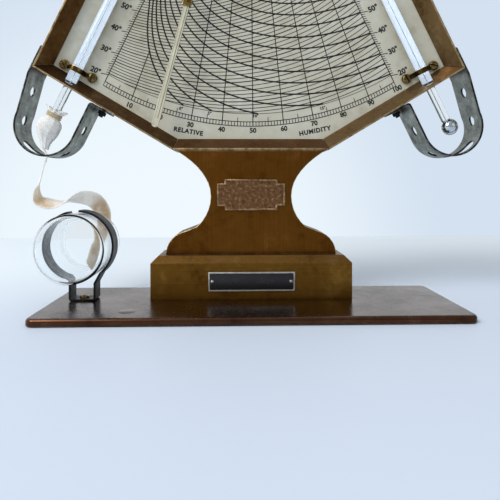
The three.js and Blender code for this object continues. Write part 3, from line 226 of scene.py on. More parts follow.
backdrop = put(tree, "ShaderNodeBackground", {"Color": seen, "Strength": 1.0})[0]
dome = put(tree, "ShaderNodeBackground", {"Color": (0.93, 0.97, 1.0, 1), "Strength": 0.6})[0]
shown = sum_of(tree, "ADD", ray["Is Camera Ray"], ray["Is Glossy Ray"])
shown = sum_of(tree, "ADD", shown, ray["Is Transmission Ray"], clamp=True)
light = put(tree, "ShaderNodeMixShader", {0: shown, 1: dome, 2: backdrop})[0]
put(tree, "ShaderNodeOutputWorld", {"Surface": light})

# %% The soft lamps
lamp_target = Vector((0, 0, 0.12))
lamps = (("key", (-1.1, -0.9, 1.3), 26, 1.0), ("fill", (1.2, -1.0, 0.7), 2.5, 1.2))
for name, place, watts, side in lamps:
    lamp = bpy.data.lights.new(name, "AREA")
    lamp.energy = watts
    lamp.size = side
    made = linked(name, lamp)
    made.location = place
    made.rotation_euler = (lamp_target - Vector(place)).to_track_quat("-Z", "Y").to_euler()


# %% [markdown]
# ## Effects that several finishes share
# Old metal is never one colour. Its patina drifts from dark to light, its sharp edges are rubbed
# bright, dirt and a painted shade darken its corners, and a fine grain breaks up the shine. On the
# guards and the clip the marked edges carry a painted reflection, and a pale veil on what faces up
# is dust and painted sheen. Each of these is a node group with its own inputs, so every material
# below can use it with other values.

# %% A way to make a node group
def new_group(name, inputs, outputs):
    group = bpy.data.node_groups.new(name, "ShaderNodeTree")
    for label, kind, value in inputs:
        socket = group.interface.new_socket(label, in_out="INPUT", socket_type=f"NodeSocket{kind}")
        socket.default_value = value
    for label, kind in outputs:
        group.interface.new_socket(label, in_out="OUTPUT", socket_type=f"NodeSocket{kind}")
    return group, put(group, "NodeGroupInput")


def give(group, **outputs):
    put(group, "NodeGroupOutput", outputs)


def placed(tree, group, **inputs):
    return put(tree, "ShaderNodeGroup", inputs, node_tree=group)


# %% Patina: three tones that drift into each other
tone_inputs = [
    ("Deep", "Color", (0.05, 0.02, 0.01, 1)), ("Middle", "Color", (0.1, 0.05, 0.02, 1)),
    ("Bright", "Color", (0.2, 0.1, 0.04, 1)), ("Scale", "Float", 60.0), ("Spread", "Float", 0.22),
]
patina, given = new_group("patina", tone_inputs, [("Color", "Color"), ("Tone", "Float")])
where = own_place(patina)
broad = grainy(patina, where, given["Scale"], 5)
small = grainy(patina, where, times(patina, given["Scale"], 7.0), 3)
tone = times(patina, broad, 0.72, times(patina, small, 0.28))
low = sum_of(patina, "SUBTRACT", 0.5, given["Spread"])
high = sum_of(patina, "ADD", 0.5, given["Spread"])
darker = mixed(patina, ranged(patina, tone, low, 0.5), given["Deep"], given["Middle"])
brighter = mixed(patina, ranged(patina, tone, 0.5, high), darker, given["Bright"])
give(patina, Color=brighter, Tone=tone)

# %% Edge wear and painted reflection: the marked faces, broken up by a grain. Most are worn edges; on the guards and the clip they are a painted reflection
edge_wear_and_reflection, given = new_group("edge wear and painted reflection", [("Amount", "Float", 0.7)], [("Mask", "Float")])
marked = put(edge_wear_and_reflection, "ShaderNodeAttribute", attribute_name="marked_faces")["Fac"]
patchy = ranged(edge_wear_and_reflection, grainy(edge_wear_and_reflection, own_place(edge_wear_and_reflection), 260), 0.32, 0.62, 0.25, 1.0)
rubbed = times(edge_wear_and_reflection, marked, patchy)
give(edge_wear_and_reflection, Mask=times(edge_wear_and_reflection, rubbed, given["Amount"], clamp=True))

# %% Grime and painted shade: where other surfaces are close, the colour is painted darker, for dirt and for shade
grime_and_shade_inputs = [("Reach", "Float", 0.004), ("Amount", "Float", 0.8)]
grime_and_shade, given = new_group("grime_and_shade", grime_and_shade_inputs, [("Mask", "Float")])
open_share = put(grime_and_shade, "ShaderNodeAmbientOcclusion", {"Distance": given["Reach"]}, samples=6)["AO"]
dirty = ranged(grime_and_shade, grainy(grime_and_shade, own_place(grime_and_shade), 180, 5), 0.3, 0.65, 0.35, 1.0)
held = times(grime_and_shade, ranged(grime_and_shade, open_share, 0.9, 0.35), dirty)
give(grime_and_shade, Mask=times(grime_and_shade, held, given["Amount"], clamp=True))

# %% Drawn grain: fine lines along the way the metal was rubbed
grain_inputs = [("Stretch", "Vector", (30.0, 900.0, 900.0)), ("Strength", "Float", 1.0)]
grain_outputs = [("Height", "Float"), ("Mask", "Float")]
drawn_grain, given = new_group("drawn grain", grain_inputs, grain_outputs)
stretched = {0: own_place(drawn_grain), 1: given["Stretch"]}
run = put(drawn_grain, "ShaderNodeVectorMath", stretched, operation="MULTIPLY")[0]
lines = put(drawn_grain, "ShaderNodeTexNoise", {"Vector": run, "Scale": 1.0, "Detail": 3.0})[0]
give(drawn_grain, Height=times(drawn_grain, lines, given["Strength"]),
     Mask=ranged(drawn_grain, lines, 0.35, 0.65))

# %% Dust and painted sheen: pale specks that settle on what faces up, under a pale veil that is painted sheen
dust_and_sheen, given = new_group("dust_and_sheen", [("Amount", "Float", 0.3)], [("Mask", "Float")])
facing = put(dust_and_sheen, "ShaderNodeNewGeometry")["Normal"]
upward = ranged(dust_and_sheen, put(dust_and_sheen, "ShaderNodeSeparateXYZ", {0: facing})[2], 0.5, 1.0)
where = own_place(dust_and_sheen)
specks = ranged(dust_and_sheen, grainy(dust_and_sheen, where, 900, 2), 0.52, 0.7)
veil = ranged(dust_and_sheen, grainy(dust_and_sheen, where, 70), 0.35, 0.75, 0.1, 0.6)
dust_and_sheen_mask = times(dust_and_sheen, upward, sum_of(dust_and_sheen, "MAXIMUM", specks, veil))
give(dust_and_sheen, Mask=times(dust_and_sheen, dust_and_sheen_mask, given["Amount"], clamp=True))
print("shared effects:", [group.name for group in bpy.data.node_groups])


# %% [markdown]
# ## Metal finishes
# The case, neck, plinth and base are bronze that was browned with heat and oil. Small parts are
# brass, the guards are dull plated steel, and the clip is black. One function makes them all from
# three tones, an edge tone, a tone for dirt and painted shade in the corners and two limits for the
# roughness. Every tone is written as a picture program gives it.

# %% One function for every metal
def aged_tones(tree, tones, scale):
    deep, middle, bright = (linear(*tone) for tone in tones)
    return placed(tree, patina, Deep=deep, Middle=middle, Bright=bright, Scale=scale)


def metal(name, tones, edge, dirt_and_shade, rough, scale, metallic=1.0, edge_amount=0.7, grain=None, dust_and_sheen_amount=0.0,
          pits=0.15, grime_and_shade_reach=4, grime_and_shade_amount=0.8, coat=0.0, shine=0.5):
    made, tree, shader = new_material(name)
    aged = aged_tones(tree, tones, scale)
    marked_faces = placed(tree, edge_wear_and_reflection, Amount=edge_amount)["Mask"]
    # Dirt and painted shade: the colour is painted darker where other surfaces are close.
    soil_and_shade = placed(tree, grime_and_shade, Reach=grime_and_shade_reach * mm, Amount=grime_and_shade_amount)["Mask"]
    colour = mixed(tree, soil_and_shade, mixed(tree, marked_faces, aged["Color"], linear(*edge)), linear(*dirt_and_shade))
    roughness = ranged(tree, aged["Tone"], 0.3, 0.7, rough[1], rough[0])
    roughness = times(tree, soil_and_shade, 0.25, roughness)
    height = times(tree, grainy(tree, own_place(tree), 700, 3), pits)
    if grain:
        drawn = placed(tree, drawn_grain, Stretch=grain[0], Strength=grain[1])
        height = sum_of(tree, "ADD", height, drawn["Height"])
        colour = mixed(tree, times(tree, drawn["Mask"], 0.22), colour, linear(*tones[0]))
    if dust_and_sheen_amount:
        # Dust, and a painted sheen: what faces up is painted paler.
        dust_and_sheen_mask = placed(tree, dust_and_sheen, Amount=dust_and_sheen_amount)["Mask"]
        colour = mixed(tree, dust_and_sheen_mask, colour, linear(170, 165, 155))
        roughness = times(tree, dust_and_sheen_mask, 0.4, roughness)
    feed(tree, shader, Base_Color=colour, Roughness=roughness, Metallic=metallic,
         Normal=bumped(tree, height, 0.35), Coat_Weight=coat, Coat_Roughness=0.2,
         Specular_IOR_Level=shine)
    return made


# %% The metals of this instrument
upright, level = (900.0, 900.0, 25.0), (25.0, 900.0, 900.0)  # the way of the grain
black_dirt_and_shade, blackened = (26, 15, 8), ((7, 7, 8), (12, 12, 13), (24, 22, 21))
painted = {"metallic": 0.0, "pits": 0.05, "shine": 0.3}
rubbed, across_rubbed = {"grain": (upright, 0.3)}, {"grain": (level, 0.6)}
finishes = {
    "bronze": metal(
        "browned bronze", ((70, 36, 8), (108, 68, 22), (146, 92, 42)), (222, 196, 150), black_dirt_and_shade,
        (0.28, 0.5), 24, edge_amount=0.9, dust_and_sheen_amount=0.25, **rubbed),
    # Two copies of one bronze, one lighter and one darker: painted light on the right walls and top, and
    # painted shade on the left walls, as the light falls from the left.
    "lit_bronze": metal(
        "lighter bronze of the right walls and top, painted light", ((78, 54, 28), (122, 96, 62), (158, 134, 98)),
        (228, 206, 164), black_dirt_and_shade, (0.3, 0.52), 55, dust_and_sheen_amount=0.3, **rubbed),
    "shaded_bronze": metal(
        "darker bronze of the left walls, painted shade", ((54, 32, 12), (98, 68, 36), (138, 108, 70)),
        (222, 200, 156), black_dirt_and_shade, (0.3, 0.52), 50, dust_and_sheen_amount=0.2, **rubbed),
    "plinth_bronze": metal(
        "rubbed bronze", ((80, 52, 18), (120, 84, 32), (152, 114, 54)), (222, 194, 146), black_dirt_and_shade,
        (0.3, 0.5), 35, edge_amount=1.0, dust_and_sheen_amount=0.3, **across_rubbed),
    "base_bronze": metal(
        "dark bronze", ((46, 26, 16), (80, 50, 32), (108, 76, 54)), (196, 160, 124), black_dirt_and_shade,
        (0.15, 0.32), 30, dust_and_sheen_amount=0.16, coat=0.15, edge_amount=1.0),
    "brass": metal(
        "old brass", ((66, 50, 22), (132, 106, 54), (190, 162, 96)), (228, 204, 140), (30, 20, 10),
        (0.2, 0.45), 260, grime_and_shade_reach=1.8, grime_and_shade_amount=1.0),
    "dark_brass": metal(
        "brass gone dark", ((30, 20, 9), (74, 54, 24), (150, 124, 66)), (236, 214, 150), (12, 8, 4),
        (0.18, 0.42), 240, grime_and_shade_reach=2.2, grime_and_shade_amount=1.0),
    "copper": metal(
        "stippled copper", ((56, 34, 20), (118, 84, 56), (190, 152, 112)), (222, 190, 148),
        (28, 16, 8), (0.35, 0.6), 520, grime_and_shade_reach=0.9, grime_and_shade_amount=1.0),
    "silver": metal(
        "worn silver plate", ((120, 112, 98), (186, 182, 172), (220, 219, 214)), (236, 235, 230),
        (60, 50, 38), (0.3, 0.5), 300, grime_and_shade_reach=0.6),
    # The guards' cut edges are painted dark: a dark cut edge, with a painted reflection of the dark room
    # in front.
    "steel": metal(
        "dull plated steel", ((78, 78, 70), (122, 127, 121), (160, 166, 161)), (44, 42, 38),
        (40, 32, 22), (0.32, 0.55), 120, edge_amount=1.3, grain=((700.0, 60.0, 700.0), 0.3)),
    "black_steel": metal(
        "blackened steel", blackened, (16, 15, 15), (6, 5, 5), (0.34, 0.55), 120, **painted),
    # The clip's edge tone is pale: a painted reflection of the bright room on the inside of the ring.
    "clip_steel_with_reflection": metal(
        "blackened steel, with a painted reflection inside the ring", blackened, (128, 138, 151), (6, 5, 5),
        (0.34, 0.55), 120, edge_amount=1.0, grime_and_shade_amount=0.2, **painted),
    "black_plate": metal(
        "black enamel plate", ((14, 13, 14), (22, 21, 23), (34, 32, 34)), (150, 120, 70), (8, 7, 6),
        (0.2, 0.35), 90, metallic=0.1),
}


# %% [markdown]
# ## Finishes that aren't metal
# The chart is printed card that has gone grey and cream, and painted shade lies near the case's
# walls. The index arm is painted, with two lines of painted shade. The wick is a soft cotton braid
# that the water has stained, and on its tape the tan is also painted shade; the cotton has a small
# painted glow. Glass and mercury are plain: what makes them look right is their real shape, with a
# bore, a thread of mercury and a strip of white enamel inside, and the enamel glows a little as
# painted light.

# %% Card, wood and paint
def stained(name, tones, scale, rough, bump_scale, strength, dirt_and_shade_reach, dirt_and_shade, dirt_and_shade_amount=0.6):
    made, tree, shader = new_material(name)
    aged = aged_tones(tree, tones, scale)["Color"]
    # Dirt and painted shade: the colour is painted darker where other surfaces are close.
    soil_and_shade = placed(tree, grime_and_shade, Reach=dirt_and_shade_reach * mm, Amount=dirt_and_shade_amount)["Mask"]
    relief = bumped(tree, grainy(tree, own_place(tree), bump_scale, 4), strength)
    colour = mixed(tree, soil_and_shade, aged, linear(*dirt_and_shade))
    feed(tree, shader, Base_Color=colour, Roughness=rough, Normal=relief)
    return made


finishes |= {
    # The card's wide reach of dirt and shade paints the shadow that the case's walls cast on it.
    "card": stained("printed card", ((158, 152, 130), (184, 181, 164), (200, 201, 191)),
                    28, 0.85, 1400, 0.2, 9, (146, 128, 92), 0.7),
    "cream": stained("cream paint", ((150, 144, 120), (192, 186, 162), (216, 211, 190)),
                     90, 0.38, 500, 0.12, 1.2, (110, 88, 52)),
    # Grey for the lines of painted shade along the index arm.
    "painted_shade_grey": stained("grey lines of painted shade", ((96, 92, 76), (124, 120, 100), (150, 146, 126)),
                          220, 0.5, 500, 0.1, 1, (90, 76, 50)),
    "wood": stained("plain wood", ((82, 56, 32), (116, 82, 50), (140, 104, 68)),
                    60, 0.7, 600, 0.5, 4, (40, 26, 16)),
    "ink": stained("printing ink", ((14, 13, 12), (22, 20, 18), (38, 34, 30)),
                   300, 0.7, 900, 0.1, 1, (20, 18, 16)),
    "pale_ink": stained("pale printing ink", ((30, 28, 25), (46, 43, 38), (66, 62, 55)),
                        300, 0.75, 900, 0.1, 1, (80, 74, 62)),
    "enamel": stained("white enamel strip", ((228, 238, 248), (238, 246, 253), (246, 251, 255)),
                      120, 0.35, 400, 0.05, 1, (206, 216, 226), 0.2),
}
# The enamel strip glows a little: painted light that brightens the tubes.
tree = finishes["enamel"].node_tree
shader = tree.nodes["Principled BSDF"]
feed(tree, shader, Emission_Color=linear(226, 240, 255), Emission_Strength=0.3)


# %% Glass and mercury
def clear_glass(name, tint, rough, bending=1.48):
    made, tree, shader = new_material(name)
    where = own_place(tree)
    wavy = bumped(tree, grainy(tree, where, 60, 2), 0.015, 0.3 * mm)
    smears = ranged(tree, grainy(tree, where, 90, 4), 0.45, 0.75, rough, rough + 0.07)
    feed(tree, shader, Base_Color=tint, Roughness=smears, Normal=wavy, IOR=bending)
    feed(tree, shader, Transmission_Weight=1.0)
    return made


finishes["glass"] = clear_glass("thermometer glass", (0.96, 0.985, 1.0, 1), 0.01)
finishes["bottle_glass"] = clear_glass("bottle glass", (0.98, 0.995, 1.0, 1), 0.015, 1.17)
finishes["mercury"], tree, shader = new_material("mercury")
film = ranged(tree, grainy(tree, own_place(tree), 70, 2), 0.4, 0.7, 0.05, 0.14)
in_thread = put(tree, "ShaderNodeAttribute", attribute_name="marked_faces")["Fac"]
film = times(tree, in_thread, 0.35, film)
silvery = mixed(tree, film, linear(205, 208, 212), linear(170, 170, 172))
feed(tree, shader, Base_Color=silvery, Roughness=film, Metallic=1.0)

# %% Cotton: a braid of crossing yarns, with fluff, stains, painted shade on the tape and a small painted glow
braid_inputs = [("Yarn", "Float", 900.0), ("Fluff", "Float", 0.5)]
braid, given = new_group("braid", braid_inputs, [("Height", "Float"), ("Gap", "Float")])
where = own_place(braid)
bent = put(braid, "ShaderNodeTexNoise", {"Vector": where, "Scale": 220.0, "Detail": 2.0})[1]
bent = put(braid, "ShaderNodeVectorMath", {0: bent, "Scale": 0.0016}, operation="SCALE")[0]
where = put(braid, "ShaderNodeVectorMath", {0: where, 1: bent}, operation="ADD")[0]
yarns = []
for turn in (0.9, -0.9):
    turned_way = put(braid, "ShaderNodeMapping", {"Vector": where, "Rotation": (0.3, turn, 0.2)})[0]
    inputs = {"Vector": turned_way, "Scale": times(braid, given["Yarn"], 0.32), "Distortion": 1.2}
    yarns.append(put(braid, "ShaderNodeTexWave", inputs, bands_direction="X")[1])
crossed = sum_of(braid, "MAXIMUM", *yarns)
fluffy = grainy(braid, where, times(braid, given["Yarn"], 4.0), 3, 0.7)
give(braid, Height=times(braid, fluffy, given["Fluff"], crossed),
     Gap=ranged(braid, crossed, 0.55, 0.1))


def cloth(name, tones, stain_and_shade, stain_and_shade_amount, yarn, glow=0.07):
    made, tree, shader = new_material(name)
    woven = placed(tree, braid, Yarn=yarn)
    # The tan is the water's stain, and on the tape it is also painted shade on its shaded loop and flap.
    wet = put(tree, "ShaderNodeAttribute", attribute_name="stain_and_shade")["Fac"]
    blotch = ranged(tree, grainy(tree, own_place(tree), 130, 4), 0.3, 0.6, 0.45, 1.0)
    wet = times(tree, times(tree, wet, blotch), stain_and_shade_amount, clamp=True)
    colour = mixed(tree, wet, aged_tones(tree, tones, 110.0)["Color"], linear(*stain_and_shade))
    colour = mixed(tree, times(tree, woven["Gap"], 0.35), colour, linear(*tones[0]))
    relief = bumped(tree, woven["Height"], 0.6, 0.25 * mm)
    feed(tree, shader, Base_Color=colour, Roughness=0.92, Normal=relief, Sheen_Weight=0.25)
    feed(tree, shader, Subsurface_Weight=0.4, Subsurface_Scale=1.0)
    feed(tree, shader, Subsurface_Radius=(0.003, 0.003, 0.003))
    # A small glow: painted light that brightens the cloth's shaded folds.
    feed(tree, shader, Emission_Color=colour, Emission_Strength=glow)
    return made


white_yarn = ((214, 211, 203), (240, 239, 234), (250, 250, 247))
brown_yarn = ((158, 132, 92), (202, 178, 134), (228, 210, 172))
finishes["cotton"] = cloth("wick cotton", white_yarn, (190, 158, 112), 1.0, 2600.0)
finishes["thin_cotton"] = cloth("thin tape, light shines through, with a painted glow", white_yarn, (182, 154, 112), 1.0,
                                2600.0, 0.2)
finishes["thread"] = cloth("brown thread", brown_yarn, (120, 84, 50), 0.3, 5200.0)
print("finishes:", sorted(finishes))


# %% [markdown]
# ## Tools for the pieces
# Most pieces below come from five tools. "Softened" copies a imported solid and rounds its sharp
# edges. "Turned" spins an outline. "Bent strap" cuts a flat strip with its holes and folds it along
# a route, as the real sheet-metal pieces were made. "Swept" draws a wire along a path. "Plate"
# fills an outline and rounds its rim.

# %% Finish a piece: material, shading, body and slot
def shade(made, angle=50):
    made.data.shade_smooth()
    made.data.set_sharp_from_angle(angle=radians(angle))


def dress(made, body, slot, replaced=(), finish=None):
    made.data.materials.clear()
    made.data.materials.append(finishes[finish or slot])
    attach(made, body)
    if replaced:
        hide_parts(*replaced)
    return made


def mark_worn(mesh, values):
    layer = mesh.attributes.get("marked_faces") or mesh.attributes.new("marked_faces", "FLOAT", "FACE")
    layer.data.foreach_set("value", values)


def reshape(mesh, work, source=None):
    """Opens a mesh for editing, lets a function work on it, and writes the result back."""
    opened = bmesh.new()
    opened.from_mesh(source or mesh)
    result = work(opened)
    opened.to_mesh(mesh)
    opened.free()
    return result


def fix_normals(mesh):
    reshape(mesh, lambda whole: bmesh.ops.recalc_face_normals(whole, faces=whole.faces))


def as_mesh(made):
    graph = bpy.context.evaluated_depsgraph_get()
    return bpy.data.meshes.new_from_object(made.evaluated_get(graph))


def closed_mesh(name, points, faces, angle=50):
    made = new_object(name, points, faces)
    fix_normals(made.data)
    shade(made, angle)
    return made


# %% Softened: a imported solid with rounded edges
def softened(node, name, body, slot, width=0.25, sharp=30, steps=2, worn_face=None, finish=None):
    def round_edges(cut):
        bmesh.ops.remove_doubles(cut, verts=cut.verts, dist=0.002 * mm)
        bmesh.ops.dissolve_limit(cut, angle_limit=radians(1), verts=cut.verts, edges=cut.edges)
        inner = [e for e in cut.edges if len(e.link_faces) == 2]
        edges = [e for e in inner if e.calc_face_angle(0) > radians(sharp)]
        rounded = bmesh.ops.bevel(
            cut, geom=edges, offset=width * mm, offset_type="OFFSET", segments=steps, profile=0.5,
            affect="EDGES", clamp_overlap=True,
        )
        rim = set(rounded["faces"])
        return [1.0 if f in rim else (worn_face(f) if worn_face else 0.0) for f in cut.faces]

    mesh = bpy.data.meshes.new(name)
    mark_worn(mesh, reshape(mesh, round_edges, nodes[node].data))
    made = linked(name, mesh)
    shade(made)
    made.modifiers.new("even faces", "WEIGHTED_NORMAL").keep_sharp = True
    return dress(made, body, slot, [node], finish)


# %% Turned: an outline of (radius, distance) spun round an axis
def axis_frame(direction):
    along = Vector(direction).normalized()
    side = along.orthogonal().normalized()
    return side, along.cross(side), along


def turned(name, profile, start, direction, turns=48, angle=35):
    side, up, along = axis_frame(direction)
    points, rings, faces = [], [], []
    for radius, distance in profile:
        count = turns if radius else 1
        rings.append(range(len(points), len(points) + count))
        for i in range(count):
            spin = 2 * pi * i / turns
            points.append(start + along * distance + (side * cos(spin) + up * sin(spin)) * radius)
    for low, high in zip(rings, rings[1:]):
        for i in range(turns):
            j = (i + 1) % turns
            loop = [low[i % len(low)], low[j % len(low)], high[j % len(high)], high[i % len(high)]]
            loop = list(dict.fromkeys(loop))
            if len(loop) > 2:
                faces.append(loop)
    return closed_mesh(name, points, faces, angle)


def quarter(radius_from, height_from, radius_to, height_to, steps=6):
    """A quarter of an ellipse from one rim point to the next, for a rounded shoulder."""
    turns = [pi / 2 * i / steps for i in range(1, steps + 1)]
    return [(radius_to + (radius_from - radius_to) * cos(turn),
             height_from + (height_to - height_from) * sin(turn)) for turn in turns]


def flare(radius_from, height_from, radius_to, height_to, steps):
    """The other quarter of the ellipse, which goes outward first."""
    swapped = quarter(height_from, radius_from, height_to, radius_to, steps)
    return [(radius, height) for height, radius in swapped]


# %% Joining meshes, and a cut with a second mesh
def joined(name, parts):
    mesh = bpy.data.meshes.new(name)
    whole = bmesh.new()
    for part in parts:
        whole.from_mesh(part.data)
        bpy.data.objects.remove(part)
    whole.to_mesh(mesh)
    whole.free()
    return linked(name, mesh)


def box_between(name, middle, across, up, out, size):
    """A cutter with its own axes: half sizes along each."""
    corners = [
        middle + across * size[0] * x + up * size[1] * y + out * size[2] * z
        for z in (-1, 1) for x, y in ((-1, -1), (1, -1), (1, 1), (-1, 1))
    ]
    loops = [(0, 3, 2, 1), (4, 5, 6, 7), (0, 1, 5, 4), (1, 2, 6, 5), (2, 3, 7, 6), (3, 0, 4, 7)]
    made = new_object(name, corners, loops)
    fix_normals(made.data)
    return made


def cut_by(made, cutter):
    cut = made.modifiers.new("cut", "BOOLEAN")
    cut.object = cutter
    cut.solver = "EXACT"
    mesh = as_mesh(made)
    made.modifiers.clear()
    made.data = mesh
    bpy.data.objects.remove(cutter)


# %% Curved outlines: arcs, and a route with rounded corners
def arc_points(centre, radius, start, end, step=radians(4)):
    count = max(2, ceil(abs(end - start) / step))
    turns = [start + (end - start) * i / count for i in range(count + 1)]
    return [(centre[0] + radius * cos(turn), centre[1] + radius * sin(turn)) for turn in turns]


def circle_outline(middle, radius, sides=40):
    return arc_points(middle, radius, 0, 2 * pi, 2 * pi / sides)[:-1]


def strip_outline(length, half_width, corner, step=radians(30)):
    """A strip that starts at 0, with rounded corners."""
    far, high = length - corner, half_width - corner
    return [
        *arc_points((corner, high), corner, pi / 2, pi, step),
        *arc_points((corner, -high), corner, pi, 3 * pi / 2, step),
        *arc_points((far, -high), corner, -pi / 2, 0, step),
        *arc_points((far, high), corner, 0, pi / 2, step),
    ]


def rounded_route(points, radius):
    """Replaces each sharp corner of a route with an arc of the given radius."""
    made = [Vector(points[0])]
    for before, corner, after in zip(points, points[1:], points[2:]):
        before, corner, after = Vector(before), Vector(corner), Vector(after)
        back, on = (before - corner), (after - corner)
        turn = pi - back.angle(on)
        reach = min(radius * tan(turn / 2), 0.45 * back.length, 0.45 * on.length)
        if turn < radians(12) or reach < 0.01 * mm:
            made.append(corner)
            continue
        start, end = corner + back.normalized() * reach, corner + on.normalized() * reach
        steps = max(2, ceil(turn / radians(10)))
        for i in range(steps + 1):
            share = i / steps
            made.append(start.lerp(corner, share).lerp(corner.lerp(end, share), share))
    return made + [Vector(points[-1])]


# %% Plate: a filled outline with holes and a rounded rim
def drawn_mesh(curve):
    """The mesh of a curve or of a text, which is then removed."""
    draft = linked("draft", curve)
    mesh = as_mesh(draft)
    bpy.data.objects.remove(draft)
    return mesh


def filled(name, outline, holes, thickness, rim):
    curve = bpy.data.curves.new(name, "CURVE")
    curve.dimensions = "2D"
    curve.fill_mode = "BOTH"
    curve.extrude = thickness / 2 - rim
    curve.bevel_depth = rim
    curve.bevel_resolution = 1
    curve.offset = -rim
    for loop in [outline, *holes]:
        spline = curve.splines.new("POLY")
        spline.points.add(len(loop) - 1)
        for point, (x, y) in zip(spline.points, loop):
            point.co = (x, y, 0, 1)
        spline.use_cyclic_u = True
    mesh = drawn_mesh(curve)

    def clean(cut):
        bmesh.ops.remove_doubles(cut, verts=cut.verts, dist=0.001 * mm)
        bmesh.ops.dissolve_degenerate(cut, dist=0.0005 * mm, edges=cut.edges)

    reshape(mesh, clean)
    return linked(name, mesh)


def rim_wear(mesh, flat=0.0):
    """Marks the cut edge and its rounding: every face that doesn't look straight up or down."""
    mark_worn(mesh, [1.0 if abs(face.normal.z) < 0.985 else flat for face in mesh.polygons])


def plate(name, outline, holes, thickness, rim, place, flat_mark=0.0):
    """Fills an outline in its own flat frame, and puts every corner where place(x, y, z) says."""
    made = filled(name, outline, holes, thickness, rim)
    rim_wear(made.data, flat_mark)
    for vertex in made.data.vertices:
        vertex.co = place(*vertex.co)
    fix_normals(made.data)
    shade(made)
    return made


# %% Bent strap: a flat strip with its holes, folded along a route
class Route:
    """A path in a plane, with the place and the sideways direction at any distance along it."""

    def __init__(self, points):
        self.points = [Vector(point) for point in points]
        self.reach = [0.0]
        for a, b in zip(self.points, self.points[1:]):
            self.reach.append(self.reach[-1] + (b - a).length)
        self.length = self.reach[-1]
        runs = [(b - a).normalized() for a, b in zip(self.points, self.points[1:])]
        means = [runs[0]] + [(a + b).normalized() for a, b in zip(runs, runs[1:])] + [runs[-1]]
        self.sides = [Vector((-run.y, run.x)) for run in means]
        self.stretch = [1.0] + [1 / max(0.8, m.dot(r)) for m, r in zip(means[1:], runs)]

    def at(self, distance):
        distance = min(max(distance, 0.0), self.length)
        for i in range(len(self.points) - 1):
            if distance <= self.reach[i + 1] + 1e-12:
                share = (distance - self.reach[i]) / max(self.reach[i + 1] - self.reach[i], 1e-12)
                near, far = (self.sides[k] * self.stretch[k] for k in (i, i + 1))
                return self.points[i].lerp(self.points[i + 1], share), near.lerp(far, share)
        return self.points[-1], self.sides[-1]

    def nearest(self, point):
        """The distance along the route of the place that is closest to a point."""
        best = min(range(len(self.points)), key=lambda i: (self.points[i] - Vector(point)).length)
        low, high = self.reach[max(0, best - 1)], self.reach[min(len(self.points) - 1, best + 1)]
        tries = [low + (high - low) * i / 40 for i in range(41)]
        return min(tries, key=lambda d: (self.at(d)[0] - Vector(point)).length)


def bent_strap(name, route, outline, holes, thickness, rim, world):
    """The outline holds (distance along the route, place across). world(a, b, across) is the place
    of a point that lies at (a, b) in the route's plane."""
    def fold_lines(cut):
        for distance in route.reach[1:-1]:
            bmesh.ops.bisect_plane(
                cut, geom=[*cut.verts, *cut.edges, *cut.faces], dist=0.0005 * mm,
                plane_co=(distance, 0, 0), plane_no=(1, 0, 0),
            )

    made = filled(name, outline, holes, thickness, rim)
    reshape(made.data, fold_lines)
    rim_wear(made.data)
    for vertex in made.data.vertices:
        middle, side = route.at(vertex.co.x)
        past = vertex.co.x - min(max(vertex.co.x, 0), route.length)
        if past:
            end = route.sides[0 if past < 0 else -1]
            middle = middle + Vector((end.y, -end.x)) * past
        place = middle + side * vertex.co.z
        vertex.co = world(place.x, place.y, vertex.co.y)
    fix_normals(made.data)
    shade(made, 40)
    return made


# %% Swept: a round wire along a path
def band(first, second, sides):
    """The faces between two rings of points, from the number of each ring's first point."""
    pairs = [(k, (k + 1) % sides) for k in range(sides)]
    return [(first + k, first + j, second + j, second + k) for k, j in pairs]


def tube_faces(rings, sides):
    faces = [face for i in range(rings - 1) for face in band(i * sides, (i + 1) * sides, sides)]
    return faces + [tuple(reversed(range(sides))), tuple(range((rings - 1) * sides, rings * sides))]


def run_at(path, i):
    return (path[min(i + 1, len(path) - 1)] - path[max(i - 1, 0)]).normalized()


def swept(name, path, radius, sides):
    points = []
    frame_side = run_at(path, 0).orthogonal().normalized()
    for i, place in enumerate(path):
        run = run_at(path, i)
        frame_side = (frame_side - run * frame_side.dot(run)).normalized()
        other = run.cross(frame_side)
        for k in range(sides):
            angle = 2 * pi * k / sides
            points.append(place + (frame_side * cos(angle) + other * sin(angle)) * radius)
    return closed_mesh(name, points, tube_faces(len(path), sides), 60)


# %% [markdown]
# ## Base and plinth
# The base plate and the plinth are cast and rubbed down, so their edges are a little round and
# catch a thin line of light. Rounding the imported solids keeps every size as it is.

# %% Base plate, with the filled hole at its front
def in_metres(outline):
    return [(a * mm, b * mm) for a, b in outline]


softened("base_plate", "base_plate_cast", "stand", "base_bronze", 0.45, steps=3)
base_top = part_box("base_plate")[1][2]
plug_place = Vector((-66.5 * mm, -24.5 * mm, base_top))
plug_outline = in_metres([(0, -1), (4.6, -1), (4.6, 0.02), (4.2, 0.14), (0, 0.16)])
dress(turned("base_plug", plug_outline, plug_place, (0, 0, 1)), "stand", "base_bronze")

# %% Plinth
softened("plinth", "plinth_cast", "stand", "plinth_bronze", 0.45)


# %% [markdown]
# ## Screws, bolts and nuts
# A slotted screw is turned on a lathe and its slot is sawn. The same is done here: an outline is
# spun, and a thin box cuts the slot. Every screw has its slot at a slightly different angle,
# because each was tightened by hand.

# %% Slotted screws
screw_head, screw_height, screw_shank = 2.7 * mm, 1.5 * mm, 1.25 * mm
saw_cut = (screw_head * 1.4, 0.42 * mm, screw_height * 0.65)  # half of its length, width and depth


